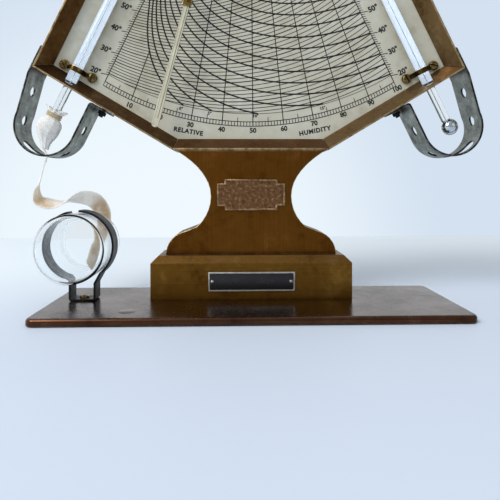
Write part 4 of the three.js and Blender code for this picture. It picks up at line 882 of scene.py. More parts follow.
def slotted_screw(node, slot, seat, direction, length, turn, finish=None):
    out = Vector(direction).normalized()
    dome = [
        (screw_head * cos(angle), screw_height * 0.4 + screw_height * 0.6 * sin(angle))
        for angle in map(radians, range(0, 90, 15))
    ]
    profile = [(0, -length), (screw_shank, -length), (screw_shank, 0), (screw_head * 0.96, 0),
               (screw_head, screw_height * 0.1), *dome, (0, screw_height)]
    made = turned(node + "_turned", profile, seat, out)
    side, up, _ = axis_frame(out)
    across = side * cos(turn) + up * sin(turn)
    top = seat + out * screw_height
    cut_by(made, box_between("slot", top, across, out.cross(across), out, saw_cut))
    facing_out = [polygon.normal.dot(out) for polygon in made.data.polygons]
    mark_worn(made.data, [0.5 if 0.15 < share < 0.8 else 0.15 for share in facing_out])
    shade(made, 32)
    return dress(made, "stand", slot, [node], finish)


def middle_of(node):
    low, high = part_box(node)
    return (Vector(low) + Vector(high)) / 2


# %% [markdown]
# ## Neck and case
# The neck is sheet bronze round a wooden core. The case's walls are folded at the rim, and their
# lips lean in to the chart. The front edge of every wall is rubbed bright, so its faces are marked
# as worn as well as the rounded edges.

# %% Neck
for node in ("neck_front", "neck_back", "neck_side_left", "neck_side_right"):
    softened(node, node + "_sheet", "stand", "bronze", 0.3)

# %% Case walls, with a bright rim
case_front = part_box("case_bottom")[0][1]


def rim_face(face):
    at_front = face.calc_center_median().y < case_front + 0.1 * mm
    return 0.75 if face.normal.y < -0.9 and at_front else 0.0


# The left walls take the darker copy and the right walls and top the lighter one: painted shade and
# painted light.
wall_finish = {
    "case_lower_left": "shaded_bronze", "case_side_left": "shaded_bronze", "case_top": "lit_bronze",
    "case_side_right": "lit_bronze", "case_lower_right": "lit_bronze", "case_bottom": "bronze",
}
for node, wall_metal in wall_finish.items():
    softened(node, node + "_fold", "stand", "bronze", 0.2, worn_face=rim_face, finish=wall_metal)
softened("case_back", "case_back_sheet", "stand", "bronze", 0.3)


# %% [markdown]
# ## Plaque and nameplate
# Both places carried a maker's words, which this part leaves out. The plaque on the neck keeps its
# cross-like outline, its raised border and its stippled field. The plate on the plinth stays bare
# black, with a worn silver border close to its edge.

# %% Plaque on the neck
plaque_middle = middle_of("neck_plaque")
plaque_half, plaque_wing = (15.8 * mm, 9.25 * mm), (20.3 * mm, 6.7 * mm)
plaque_border = 1.0 * mm


def cross_outline(shrink):
    w, h = plaque_half[0] - shrink, plaque_half[1] - shrink
    ww, wh = plaque_wing[0] - shrink, plaque_wing[1] - shrink
    return [(-ww, -wh), (-w, -wh), (-w, -h), (w, -h), (w, -wh), (ww, -wh),
            (ww, wh), (w, wh), (w, h), (-w, h), (-w, wh), (-ww, wh)]


def facing_front(middle, y):
    """Stands a flat outline upright round a middle, at a depth y, with its top to the front."""
    return lambda x, z, out: Vector((middle.x + x, y - out, middle.z + z))


border = plate(
    "plaque_border", cross_outline(0), [cross_outline(plaque_border)], 0.8 * mm, 0.12 * mm,
    facing_front(plaque_middle, case_front - 0.4 * mm), 0.35,
)
dress(border, "stand", "copper", ["neck_plaque"])

# %% The plaque's field: a fine grid, pushed in and out as a punch leaves it
columns, rows = 112, 52
field_inset = plaque_border * 0.7  # the rest of the border's width lies over the field
field_half = (plaque_wing[0] - field_inset, plaque_half[1] - field_inset)
field_front = case_front - 0.38 * mm


def in_cross(x, z):
    inside_wings = abs(x) <= field_half[0] and abs(z) <= plaque_wing[1] - field_inset
    return inside_wings or (abs(x) <= plaque_half[0] - field_inset and abs(z) <= field_half[1])


def field_place(column, row):
    return (2 * column / columns - 1) * field_half[0], (2 * row / rows - 1) * field_half[1]


def drop_loose_points(cut):
    bmesh.ops.delete(cut, geom=[v for v in cut.verts if not v.link_faces], context="VERTS")


grid = []
for j in range(rows + 1):
    for i in range(columns + 1):
        x, z = field_place(i, j)
        punched = noise.noise(Vector((x, z, 0)) * 1500) * 0.16 * mm
        punched += noise.noise(Vector((x, z, 9)) * 700) * 0.05 * mm
        grid.append(Vector((plaque_middle.x + x, field_front - punched, plaque_middle.z + z)))
next_row = columns + 1
faces = [
    (a, a + 1, a + next_row + 1, a + next_row)
    for j in range(rows) for i, a in enumerate(range(j * next_row, j * next_row + columns))
    if in_cross(*field_place(i + 0.5, j + 0.5))
]
field = new_object("plaque_field", grid, faces)
reshape(field.data, drop_loose_points)
thick = field.modifiers.new("thickness", "SOLIDIFY")
thick.thickness = 0.25 * mm
thick.offset = 1 if field.data.polygons[0].normal.y > 0 else -1
shade(field, 60)
dress(field, "stand", "copper")

# %% Nameplate: a bare black plate with a silver border, and its two pins
plate_middle = middle_of("nameplate")
plate_half = Vector(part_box("nameplate")[1]) - plate_middle
plate_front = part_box("nameplate")[0][1]


def plate_outline(shrink):
    w, h = plate_half.x - shrink, plate_half.z - shrink
    return [(-w, -h), (w, -h), (w, h), (-w, h)]


nameplate = plate("nameplate_plate", plate_outline(0), [], 0.8 * mm, 0.12 * mm,
                  facing_front(plate_middle, plate_middle.y))
dress(nameplate, "stand", "black_plate", ["nameplate"])
line_out, line_width = 0.15 * mm, 0.8 * mm
line_hole = plate_outline(line_out + line_width)
silver_line = plate(
    "nameplate_line", plate_outline(line_out), [line_hole], 0.12 * mm, 0.03 * mm,
    facing_front(plate_middle, plate_front - 0.03 * mm), 0.4,
)
dress(silver_line, "stand", "brass", (), "silver")
pin_outline = in_metres([(0, -1.6), (0.6, -1.6), (0.6, 0), (1, 0), (0.95, 0.25), (0.7, 0.42),
                         (0.35, 0.5), (0, 0.5)])
for node in ("nameplate_pin_left", "nameplate_pin_right"):
    seat = middle_of(node)
    seat.y = plate_front
    pin = turned(node + "_head", pin_outline, seat, (0, -1, 0), 32, 60)
    dress(pin, "stand", "brass", [node], "silver")


# %% [markdown]
# ## The printed chart
# The chart is read like this: find the dry bulb's degrees on one edge, set the slider there, and
# follow a curve to the humidity scale at the bottom. Its curves follow simple formulas in polar
# form round the arm's pivot. A share from 0 to 1 turns across the fan, and a radius grows downward.
# The ink is a set of thin ribbons that lie a hair's breadth in front of the card.

# %% The chart's own frame
chart_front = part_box("chart_sheet")[0][1]
ink_gap = 0.04 * mm
pivot = Vector((0, 0, 318.8 * mm))
fan_start, fan_sweep = radians(-25.8), radians(51.6)
fan_edges = ((0, -1), (1, 1))  # the share of each edge, and its way outward
chart_top_radius, scale_depth = 62, 2.7


def fan_angle(share):
    return fan_start + fan_sweep * share


def printed_share(percent):
    """The humidity scale was drawn by hand: its middle lies a little to the right."""
    return percent / 100 + 0.0075 * sin(pi * percent / 100)


def on_chart(share, radius):
    """A place on the chart, as (x, z), for a share of the fan and a radius in millimetres."""
    angle = fan_angle(share)
    return Vector((radius * mm * sin(angle), pivot.z - radius * mm * cos(angle)))


def degree_radius(degrees):
    return 200.3 - 1.444 * (degrees - 20)


def edge_radius(share):
    """The lowest fine line of the chart's field."""
    return 204.2 - 4.0 * (2 * share - 1) ** 2


def scale_radius(share):
    """The upper line of the humidity scale."""
    return 209.2 - 4.4 * (2 * share - 1) ** 2


# %% Ink ribbons: a polyline becomes a flat strip
def add_strip(points, faces, line, width):
    line = [Vector(p) for p in line]
    if len(line) < 2:
        return
    start = len(points)
    for i, place in enumerate(line):
        run = run_at(line, i)
        side = Vector((-run.y, run.x)) * width * mm / 2
        for shifted in (place - side, place + side):
            points.append((shifted.x, chart_front - ink_gap, shifted.y))
    for a in range(start, len(points) - 2, 2):
        faces.append((a, a + 2, a + 3, a + 1))


def printed(name, lines, finish="ink"):
    points, faces = [], []
    for line, width in lines:
        add_strip(points, faces, line, width)
    made = new_object(name, points, faces)
    fix_normals(made.data)
    return dress(made, "stand", "card", (), finish)


# %% Rising lines, one for every second degree of the dry bulb
def rising_radius(degrees, share):
    low = 199.4 - 0.845 * (degrees - 30)
    bends = {20: 3.0, 30: 2.2, 40: 1.5, 50: 1.25, 60: 1.15}
    ten = 10 * int(degrees // 10)
    first = bends.get(ten, 1.1 if ten > 60 else 3.0)
    second = bends.get(ten + 10, 1.1)
    bend = first + (second - first) * (degrees - ten) / 10
    return low + (degree_radius(degrees) - low) * share ** bend


def clipped_curve(radius_at, start=0.0, end=1.0, steps=64):
    """The parts of a curve that lie inside the chart's field."""
    runs, run = [], []
    for i in range(steps + 1):
        share = start + (end - start) * i / steps
        radius = radius_at(share)
        if chart_top_radius <= radius <= edge_radius(share):
            run.append(on_chart(share, radius))
        elif run:
            runs.append(run)
            run = []
    if run:
        runs.append(run)
    return runs


fine_lines, rising_bold = [], []
for degrees in range(14, 122, 2):
    lines, width = (fine_lines, 0.47) if degrees % 10 else (rising_bold, 0.6)
    lines += [(run, width) for run in clipped_curve(lambda share: rising_radius(degrees, share))]


# %% Bold curves, one for every fifth degree of the dew point
def dew_radius(degrees, share):
    turn = log(max(share, 0.004))
    return 227.7 + 8.84 * turn - 9.93 * turn ** 2 - 1.78 * turn ** 3 - 1.42 * degrees


dew_lines = []
for degrees in range(0, 110, 5):
    runs = clipped_curve(lambda share: dew_radius(degrees, share), 0.012, 1.0, 110)
    dew_lines += [(run, 0.92) for run in runs]

# %% Rays, the humidity scale and its ticks
ray_lines, scale_lines = [], []
for tenth in range(0, 11):
    share = printed_share(10 * tenth)
    inner = 0 < tenth < 10
    foot = scale_radius(share) + (scale_depth if inner else 0)
    head = max(chart_top_radius, 70 + 40 * (1 - share)) if inner else chart_top_radius
    if tenth == 1:
        head = dew_radius(0, share)
    ray_lines.append(([on_chart(share, head), on_chart(share, foot)], 0.56))
long_lines = ((scale_radius, 0, 0.5), (scale_radius, scale_depth, 0.5), (edge_radius, 0, 0.32))
for line_at, offset, width in long_lines:
    scale_lines.append(([on_chart(i / 60, line_at(i / 60) + offset) for i in range(61)], width))
for percent in range(0, 101):
    share = printed_share(percent)
    top = scale_radius(share)
    inward = 2.5 if percent % 5 == 0 else 0
    scale_lines.append(([on_chart(share, top - inward), on_chart(share, top + scale_depth)], 0.42))

# %% The degree scales on the two edges
for share, way in fan_edges:
    tilt = Vector((way, 0.2)).normalized()
    for degrees in range(20, 111):
        length = 4.6 if degrees % 10 == 0 else (3.2 if degrees % 5 == 0 else 2.1)
        foot = on_chart(share, degree_radius(degrees))
        scale_lines.append(([foot, foot + tilt * length * mm], 0.42 if degrees % 5 else 0.5))
printed("chart_fine_lines", fine_lines, "pale_ink")
printed("chart_rising_lines", rising_bold)
printed("chart_dew_lines", dew_lines)
printed("chart_scales", ray_lines + scale_lines)
print(len(fine_lines) + len(rising_bold), "rising lines,", len(dew_lines), "dew point curves")


# %% Numbers and the scale's two plain words
def lettering(text, place, size, turn, bolder=0.045, spread=1.0):
    letters = bpy.data.curves.new("letters", "FONT")
    letters.body = text
    letters.size = size * mm
    letters.align_x, letters.align_y = "CENTER", "CENTER"
    letters.resolution_u = 3
    letters.space_character = spread
    letters.offset = bolder * size * mm
    mesh = drawn_mesh(letters)
    for vertex in mesh.vertices:
        x = vertex.co.x * cos(turn) - vertex.co.y * sin(turn)
        z = vertex.co.x * sin(turn) + vertex.co.y * cos(turn)
        vertex.co = (place.x + x, chart_front - ink_gap, place.y + z)
    return linked("letters", mesh)


numbers = []
number_radius = {10: 212.5, 20: 213.7, 30: 214.3, 40: 214.6, 50: 214.6, 60: 214.4, 70: 213.8,
                 80: 212.6, 90: 211.0, 100: 209.5}
for percent, radius in number_radius.items():
    share = printed_share(percent)
    numbers.append(lettering(str(percent), on_chart(share, radius), 4.1, fan_angle(share)))
for degrees in range(20, 111, 10):
    for share, way in fan_edges:
        angle = fan_angle(share)
        outward = Vector((way * cos(angle), way * sin(angle)))
        place = on_chart(share, degree_radius(degrees) + 1) + outward * 8.2 * mm
        numbers.append(lettering(f"{degrees}°", place, 4.6, angle * 0.95))
for degrees, share in ((0, 0.267), (5, 0.363), (10, 0.517), (15, 0.743)):
    numbers.append(lettering(f"{degrees}°", on_chart(share, 205.6), 2.6, fan_angle(share)))
for text, x, z, turn in (("RELATIVE", -38.4, 103.7, -10), ("HUMIDITY", 39.8, 104.0, 11)):
    numbers.append(lettering(text, Vector((x * mm, z * mm)), 3.8, radians(turn), 0.05, 1.16))
dress(joined("chart_numbers", numbers), "stand", "card", (), "ink")


# %% [markdown]
# ## Index arm and slider
# The arm hangs from a stud above the photograph's edge and swings over the chart. It is a thin
# painted strip, with two grey lines of painted shade along its edges. A small brass slider runs on it.

# %% The arm, with two grey lines of painted shade along it
arm_turn, arm_pivot_z = radians(15), 319 * mm
shade_line_front = 6.57 * mm


def along_arm(across, down):
    """A place in the arm's own frame: across to the right, and down from the pivot."""
    return Vector((
        across * cos(arm_turn) - down * sin(arm_turn),
        arm_pivot_z - across * sin(arm_turn) - down * cos(arm_turn),
    ))


softened("index_arm", "index_arm_painted", "index", "cream", 0.5, steps=3)
points, faces = [], []
# Two grey lines along the arm: painted shade on its rounded edges.
for across, width in ((-0.98, 0.16), (0.76, 0.5)):
    add_strip(points, faces, [along_arm(across * mm, down * mm) for down in (12, 216)], width)
shade_lines = new_object("index_arm_lines", [(x, shade_line_front, z) for x, _, z in points], faces)
fix_normals(shade_lines.data)
dress(shade_lines, "index", "cream", (), "painted_shade_grey")

# %% Slider, stud and thumb nut
softened("index_slider", "index_slider_brass", "slider", "brass", 0.15)
softened("index_thumb_nut", "index_thumb_nut_brass", "index", "brass", 0.12, sharp=40)
softened("index_stud", "index_stud_brass", "stand", "brass", 0.15, sharp=40)


# %% [markdown]
# ## Thermometers
# Each is a thin-walled bulb on a narrow stem that opens into a wide tube. The wide tube carries a
# strip of white enamel behind the bore, and the glass in front of it works as a lens, so the whole
# tube looks white from the front. It is modelled as solid glass with a real bore, and the enamel
# strip also glows a little, as painted light that makes the tube whiter.

# %% The tube's own frame
side_angle = radians(26)
bulb_x, bulb_z, tube_y = 122 * mm, 106.1 * mm, 15 * mm
bulb_radius, stem_radius, tube_radius, bore_radius = 5.3 * mm, 2.7 * mm, 3.4 * mm, 0.16 * mm
stem_length, tube_end, tube_shoulder = 28.7 * mm, 205 * mm, 1.4 * mm
tube_sides = {"wet": -1, "dry": 1}


def tube_place(side, out, up, y=tube_y):
    x = bulb_x + out * cos(side_angle) - up * sin(side_angle)
    z = bulb_z + out * sin(side_angle) + up * cos(side_angle)
    return Vector((side * x, y, z))


def tube_axis(side):
    return Vector((-side * sin(side_angle), 0, cos(side_angle)))


def tube_out(side):
    return Vector((side * cos(side_angle), 0, sin(side_angle)))


def bulb_outline(radius, neck, steps=18):
    turn = asin(neck / radius)
    angles = [-pi / 2 + (i + 1) / steps * (pi - turn) for i in range(steps)]
    return [(radius * cos(angle), radius * sin(angle)) for angle in angles]


# %% The outline of the glass, and the sizes of the mercury
bulb_wall, mercury_gap = 0.7 * mm, 0.15 * mm
thread_radius = 0.17 * mm  # a little more than the bore's, because the thread wets its bore
thread_length = {"wet": 112 * mm, "dry": 128 * mm}
cavity = bulb_radius - bulb_wall
ball = cavity - mercury_gap
tube_outline = [
    (0, -bulb_radius), *bulb_outline(bulb_radius, stem_radius), (stem_radius, stem_length),
    *flare(stem_radius, stem_length, tube_radius, stem_length + tube_shoulder, 5),
    (tube_radius, tube_end - tube_shoulder),
    *quarter(tube_radius, tube_end - tube_shoulder, tube_radius - tube_shoulder, tube_end),
    (bore_radius, tube_end), (bore_radius, tube_end / 2),
    *reversed(bulb_outline(cavity, bore_radius)), (0, -cavity),
]

# %% The outline and the faces of the enamel strip, bent round the back of the bore
enamel_radius, enamel_thick, half_turn = 2.75 * mm, 0.3 * mm, radians(82)
enamel_ends = (stem_length + 1.7 * mm, tube_end - 4 * mm)
section = [
    (radius * sin(angle), radius * cos(angle))
    for radius, order in ((enamel_radius, 1), (enamel_radius - enamel_thick, -1))
    for angle in [order * (-half_turn + 2 * half_turn * i / 16) for i in range(17)]
]
count = len(section)
across_end = range(count // 2 - 1)
first_end = [(i, i + 1, count - 2 - i, count - 1 - i) for i in across_end]
second_end = [(count + i, 2 * count - 1 - i, 2 * count - 2 - i, count + i + 1) for i in across_end]
enamel_faces = band(0, count, count) + first_end + second_end

# %% Each tube's three pieces
for name, side in tube_sides.items():
    start, axis = tube_place(side, 0, 0), tube_axis(side)
    glass = turned(name + "_glass", tube_outline, start, axis, 64, 45)
    dress(glass, "stand", "glass", [name + "_thermometer_glass"])
    thread_end = thread_length[name]
    filling = [(0, -ball), *bulb_outline(ball, thread_radius),
               (thread_radius, thread_end - 0.3 * mm), (0, thread_end)]
    mercury = turned(name + "_mercury", filling, start, axis, 40, 60)
    outside_bulb = [(face.center - start).length > bulb_radius for face in mercury.data.polygons]
    mark_worn(mercury.data, [float(outside) for outside in outside_bulb])
    dress(mercury, "stand", "mercury", [name + "_thermometer_mercury"])
    points = [tube_place(side, x, up, tube_y + y) for up in enamel_ends for x, y in section]
    strip = closed_mesh(name + "_enamel", points, enamel_faces, 40)
    dress(strip, "stand", "glass", (), "enamel")


# %% [markdown]
# ## Saddles and staples
# A brass strap is bent over the foot of each wide tube and held by two round-headed screws. A wire
# staple holds the top of the tube. The strap is cut flat first, with an ear and a hole at each end.

# %% Saddles
saddle_sheet, saddle_width, ear_radius, ear_out = 0.8 * mm, 3.2 * mm, 3.1 * mm, 9.4 * mm
saddle_up = (middle_of("wet_saddle") - tube_place(-1, 0, 0)).dot(tube_axis(-1))
sheet_lift = 0.15 * mm  # the strap's sheet, and the screws on it, sit this far off
ear_y = chart_front - saddle_sheet / 2 - sheet_lift
arch = tube_radius + 0.3 * mm + saddle_sheet / 2
arch_foot = ear_y - 1.4 * mm
saddle_route = Route([
    (-ear_out - ear_radius, ear_y),
    *rounded_route([(-ear_out, ear_y), (-arch, ear_y), (-arch, arch_foot)], 1.0 * mm),
    *arc_points((0, tube_y), arch, pi, 2 * pi, radians(8)),
    *rounded_route([(arch, arch_foot), (arch, ear_y), (ear_out, ear_y)], 1.0 * mm),
    (ear_out + ear_radius, ear_y),
])
ear_turn = asin(saddle_width / 2 / ear_radius)
ear_low, ear_high = ear_radius, saddle_route.length - ear_radius
saddle_outline = (
    arc_points((ear_low, 0), ear_radius, ear_turn, 2 * pi - ear_turn, radians(12))
    + arc_points((ear_high, 0), ear_radius, -pi + ear_turn, pi - ear_turn, radians(12))
)
saddle_holes = [circle_outline((place, 0), 1.5 * mm, 24) for place in (ear_low, ear_high)]
for name, side in tube_sides.items():
    strap = bent_strap(
        name + "_saddle_strap", saddle_route, saddle_outline, saddle_holes, saddle_sheet, 0.14 * mm,
        lambda out, y, up: tube_place(side, out, saddle_up + up, y),
    )
    dress(strap, "stand", "brass", [name + "_saddle"], "dark_brass")
    for which, out, turn in (("inner", -ear_out, 0.5), ("outer", ear_out, 1.3)):
        seat = tube_place(side, out, saddle_up, ear_y - saddle_sheet / 2 - sheet_lift)
        slotted_screw(f"{name}_saddle_screw_{which}", "brass", seat, (0, -1, 0), 6.5 * mm,
                      turn + (0.8 if side > 0 else 0), "dark_brass")

# %% Staples
staple_up, staple_wire = 190 * mm, 0.65 * mm
staple_reach = tube_radius + 0.3 * mm + staple_wire
staple_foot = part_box("chart_board")[1][1] + 1.5 * mm
staple_path = [
    (-staple_reach, staple_foot), (-staple_reach, tube_y + 2 * mm),
    *arc_points((0, tube_y), staple_reach, pi, 2 * pi, radians(12)),
    (staple_reach, tube_y + 2 * mm), (staple_reach, staple_foot),
]
for name, side in tube_sides.items():
    path = [tube_place(side, out, staple_up, y) for out, y in staple_path]
    wire = swept(name + "_staple_wire", path, staple_wire, 12)
    dress(wire, "stand", "brass", [name + "_upper_staple"])


# %% [markdown]
# ## Bulb guards
# Each guard is one strip of plated steel, with round holes and a long slot, bent into a U round the
# bulb. Cutting it flat and then bending it gives holes that follow the bend, as on the real strip.

# %% The guard's route, from the top of its outer arm to the end of its flange
guard_sheet, guard_centre_out, guard_radius = 1.2 * mm, 1.0 * mm, 18.1 * mm
sheet_gap = 0.3 * mm
wide_corner, low_corner = Vector((130 * mm, 141.4 * mm)), Vector((47 * mm, 91.7 * mm))


def in_tube(corner):
    x, z = corner.x - bulb_x, corner.y - bulb_z
    return Vector((x * cos(side_angle) + z * sin(side_angle),
                   -x * sin(side_angle) + z * cos(side_angle)))


wide, low = in_tube(wide_corner), in_tube(low_corner)
wall_slope = (wide.y - low.y) / (wide.x - low.x)
guard_outer = wide.x + sheet_gap + guard_sheet / 2
guard_inner = guard_centre_out - guard_radius
guard_end = guard_inner - 10 * mm


def flange_up(out):
    return low.y + (out - low.x) * wall_slope - sheet_gap - guard_sheet / 2


def on_bend(angle):
    return guard_centre_out + guard_radius * cos(angle), guard_radius * sin(angle)


guard_route = Route([
    *rounded_route([(guard_outer, 42 * mm), (guard_outer, 24 * mm), on_bend(0)], 8 * mm)[:-1],
    *arc_points((guard_centre_out, 0), guard_radius, 0, -pi, radians(5)),
    *rounded_route([(guard_inner, 0.5 * mm), (guard_inner, flange_up(guard_inner)),
                    (guard_end, flange_up(guard_end))], 1.6 * mm),
])
guard_low_y, guard_high_y = (corner[1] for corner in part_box("wet_bulb_guard"))
guard_middle, guard_half = (guard_low_y + guard_high_y) / 2, (guard_high_y - guard_low_y) / 2

# %% Its flat outline and holes, then the bend
fastener_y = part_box("case_bottom")[1][1] - 7.8 * mm
fastener_across = fastener_y - guard_middle
side_screw_up, bolt_out = 36 * mm, guard_inner - 4.4 * mm
round_holes = [  # a place on the route, the place across, the radius in millimetres, and the sides
    (on_bend(radians(-142)), 0, 3, 40), (on_bend(radians(-12)), 0, 3, 40),
    ((21.6 * mm, 15 * mm), 0, 3, 40), ((guard_inner, 6.5 * mm), 0, 3, 40),
    ((guard_outer, side_screw_up), fastener_across, 1.55, 24),
    ((bolt_out, flange_up(bolt_out)), fastener_across, 1.8, 24),
]
guard_holes = [
    circle_outline((guard_route.nearest(place), across), radius * mm, sides)
    for place, across, radius, sides in round_holes
]
slot_middle = guard_route.nearest(on_bend(radians(-90)))
slot_half, slot_radius, slot_y = 6 * mm, 5 * mm, 8.6 * mm - guard_half
guard_holes.append(
    arc_points((slot_middle + slot_half, slot_y), slot_radius, -pi / 2, pi / 2, radians(12))
    + arc_points((slot_middle - slot_half, slot_y), slot_radius, pi / 2, 3 * pi / 2, radians(12))
)
guard_outline = strip_outline(guard_route.length, guard_half, 1.2 * mm)
for name, side in tube_sides.items():
    guard = bent_strap(
        name + "_guard_strip", guard_route, guard_outline, guard_holes, guard_sheet, 0.2 * mm,
        lambda out, up, across: tube_place(side, out, up, guard_middle + across),
    )
    dress(guard, "stand", "steel", [name + "_bulb_guard"])
strip_length = round(guard_route.length / mm, 1)
print("guard strip", strip_length, "mm long,", len(guard.data.polygons), "faces")

# %% Guard bolts, nuts and side screws
wall_run = Vector((1, wall_slope)).normalized()
washer = 1.5 * mm
bolt_outline = [*in_metres([(0, -7.2), (1.5, -7.0), (1.5, 0), (3, 0), (3, 0.7)]),
                *quarter(3 * mm, 0.7 * mm, 0, 1.8 * mm)]
for name, side in tube_sides.items():
    normal = tube_axis(side) * wall_run.x - tube_out(side) * wall_run.y
    seat = tube_place(side, bolt_out, flange_up(bolt_out) + sheet_gap + guard_sheet / 2, fastener_y)
    bolt = turned(name + "_guard_bolt_turned", bolt_outline, seat + normal * washer, normal, 40)
    dress(bolt, "stand", "black_steel", [name + "_guard_bolt"])
    softened(name + "_guard_nut", name + "_guard_nut_filed", "stand", "black_steel", sharp=40)
    seat = tube_place(side, wide.x, side_screw_up, fastener_y) + tube_out(side) * 1.8 * mm
    turn = 0.4 + side * 0.5
    slotted_screw(name + "_guard_side_screw", "steel", seat, tube_out(side), 4 * mm, turn)


# %% [markdown]
# ## Bottle and clip
# The bottle lies on its side in a sprung ring of blackened strip, with its mouth to the back. Its
# bottom edge is well rounded, so that the thick glass shows only a faint ring there.

# %% The clip
clip_x, clip_z = -100.1 * mm, 35.6 * mm
clip_sheet, ring_radius = 1.2 * mm, 20.25 * mm
clip_low_y, clip_high_y = (corner[1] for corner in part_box("bottle_clip"))
clip_middle, clip_half = (clip_low_y + clip_high_y) / 2, (clip_high_y - clip_low_y) / 2
leg_left, leg_right = clip_x - 4.3 * mm, clip_x + 9.8 * mm
foot_z, leg_top = base_top + clip_sheet / 2, base_top + 10 * mm
ring = (clip_x, clip_z)
right_arc = arc_points(ring, ring_radius, radians(88.3), radians(-50), radians(5))
left_arc = arc_points(ring, ring_radius, radians(-108), radians(107 - 360), radians(5))
legs = rounded_route(
    [right_arc[-1], (leg_right, leg_top), (leg_right, foot_z), (leg_left, foot_z),
     (leg_left, leg_top), left_arc[0]], 1.4 * mm)
clip_route = Route(right_arc + legs[1:-1] + left_arc)
clip_outline = strip_outline(clip_route.length, clip_half, 0.8 * mm)
clip_screw_x = (leg_left + leg_right) / 2
clip_hole = circle_outline((clip_route.nearest((clip_screw_x, foot_z)), 0), 1.55 * mm, 24)
clip = bent_strap("bottle_clip_strip", clip_route, clip_outline, [clip_hole], clip_sheet, 0.2 * mm,
                  lambda x, z, across: Vector((x, clip_middle + across, z)))
# The faces inside the ring are marked for a painted reflection: they take the clip's pale edge tone.
reflecting_faces = []
for polygon in clip.data.polygons:
    inward = Vector((clip_x - polygon.center.x, 0, clip_z - polygon.center.z)).normalized()
    reflecting_faces.append(1.0 if polygon.normal.dot(inward) > 0.9 and polygon.center.z > leg_top else 0.0)
mark_worn(clip.data, reflecting_faces)
dress(clip, "stand", "black_steel", ["bottle_clip"], "clip_steel_with_reflection")
clip_seat = Vector((clip_screw_x, clip_middle, base_top + clip_sheet))
slotted_screw("clip_screw", "brass", clip_seat, (0, 0, 1), 5 * mm, 0.9)

# %% The bottle
bottle_start = Vector((clip_x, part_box("water_bottle")[0][1], clip_z))
bottle_radius, wall, edge = 19.3 * mm, 1.3 * mm, 4.2 * mm
body, shoulder, mouth = 36 * mm, 40 * mm, 45 * mm
bore, lip, lip_height = 15.6 * mm, 1.2 * mm, 2 * mm
neck_outer, lip_start = bore + wall, mouth - lip_height


def s_curve(radius_from, height_from, radius_to, height_to, steps=10):
    """A smooth shoulder between two straight walls."""
    return [
        (radius_from + (radius_to - radius_from) * (1 - cos(pi * i / steps)) / 2,
         height_from + (height_to - height_from) * i / steps)
        for i in range(1, steps + 1)
    ]


bottle_outline = [
    (0, 0.5 * mm), (bottle_radius * 0.55, 0.3 * mm), (bottle_radius - edge - 1.2 * mm, 0),
    (bottle_radius - edge, 0.05 * mm), *flare(bottle_radius - edge, 0, bottle_radius, edge, 8),
    (bottle_radius, body), *s_curve(bottle_radius, body, neck_outer, shoulder),
    (neck_outer, lip_start),
    *[(neck_outer + lip * sin(pi * i / 8), lip_start + lip_height * i / 8) for i in range(1, 9)],
    (bore + 0.3 * mm, mouth), (bore, mouth - 0.4 * mm), (bore, shoulder),
    *s_curve(bore, shoulder, bottle_radius - wall, body), (bottle_radius - wall, edge),
    *quarter(bottle_radius - wall, edge, bottle_radius - edge, wall, 8),
    (bottle_radius * 0.5, wall + 0.2 * mm), (0, wall + 0.5 * mm),
]
bottle = turned("water_bottle_glass", bottle_outline, bottle_start, (0, 1, 0), 96, 60)
dress(bottle, "bottle", "glass", ["water_bottle"], "bottle_glass")


# %% [markdown]
# ## The wick
# A cotton sleeve is drawn over the left bulb and tied with brown thread, so its top stands out as a
# frill. From it a flat braided tape hangs out through the guard's slot, loops on the bottle's clip
# and goes into the bottle's mouth. Cloth this small holds its folds, so it is modelled directly
# from stations along its length, with curled edges and small creases, and not simulated.

# %% The sleeve, with folds that run down it and a pointed frill
sleeve_stations = [  # distance along the tube, inner radius, thickness, depth of the folds
    (-12.0, 0.3, 2.0, 0.15), (-10.8, 0.6, 2.1, 0.18), (-9.2, 1.2, 2.1, 0.22), (-7.4, 2.3, 1.9, 0.24),
    (-5.8, 3.5, 1.7, 0.2), (-4.3, 4.7, 1.45, 0.16), (-2.2, 5.6, 1.3, 0.1), (0.0, 5.7, 1.35, 0.08),
    (2.2, 5.6, 1.3, 0.1), (3.6, 4.9, 1.4, 0.16), (4.7, 3.9, 1.4, 0.22), (5.4, 3.2, 1.2, 0.2),
    (5.9, 3.1, 0.85, 0.12), (7.2, 3.1, 0.8, 0.12), (8.6, 3.1, 0.85, 0.16), (9.2, 3.3, 1.1, 0.5),
    (10.0, 3.7, 1.2, 1.0), (10.7, 4.1, 1.2, 1.4), (11.2, 4.4, 1.1, 1.8),
]
sleeve_rows, sleeve_turns, pleats = 90, 96, 9


def smooth_between(stations, place):
    for low, high in zip(stations, stations[1:]):
        if place <= high[0] + 1e-9:
            share = (place - low[0]) / (high[0] - low[0])
            share = share * share * (3 - 2 * share)
            return [a + (b - a) * share for a, b in zip(low, high)]
    return list(stations[-1])


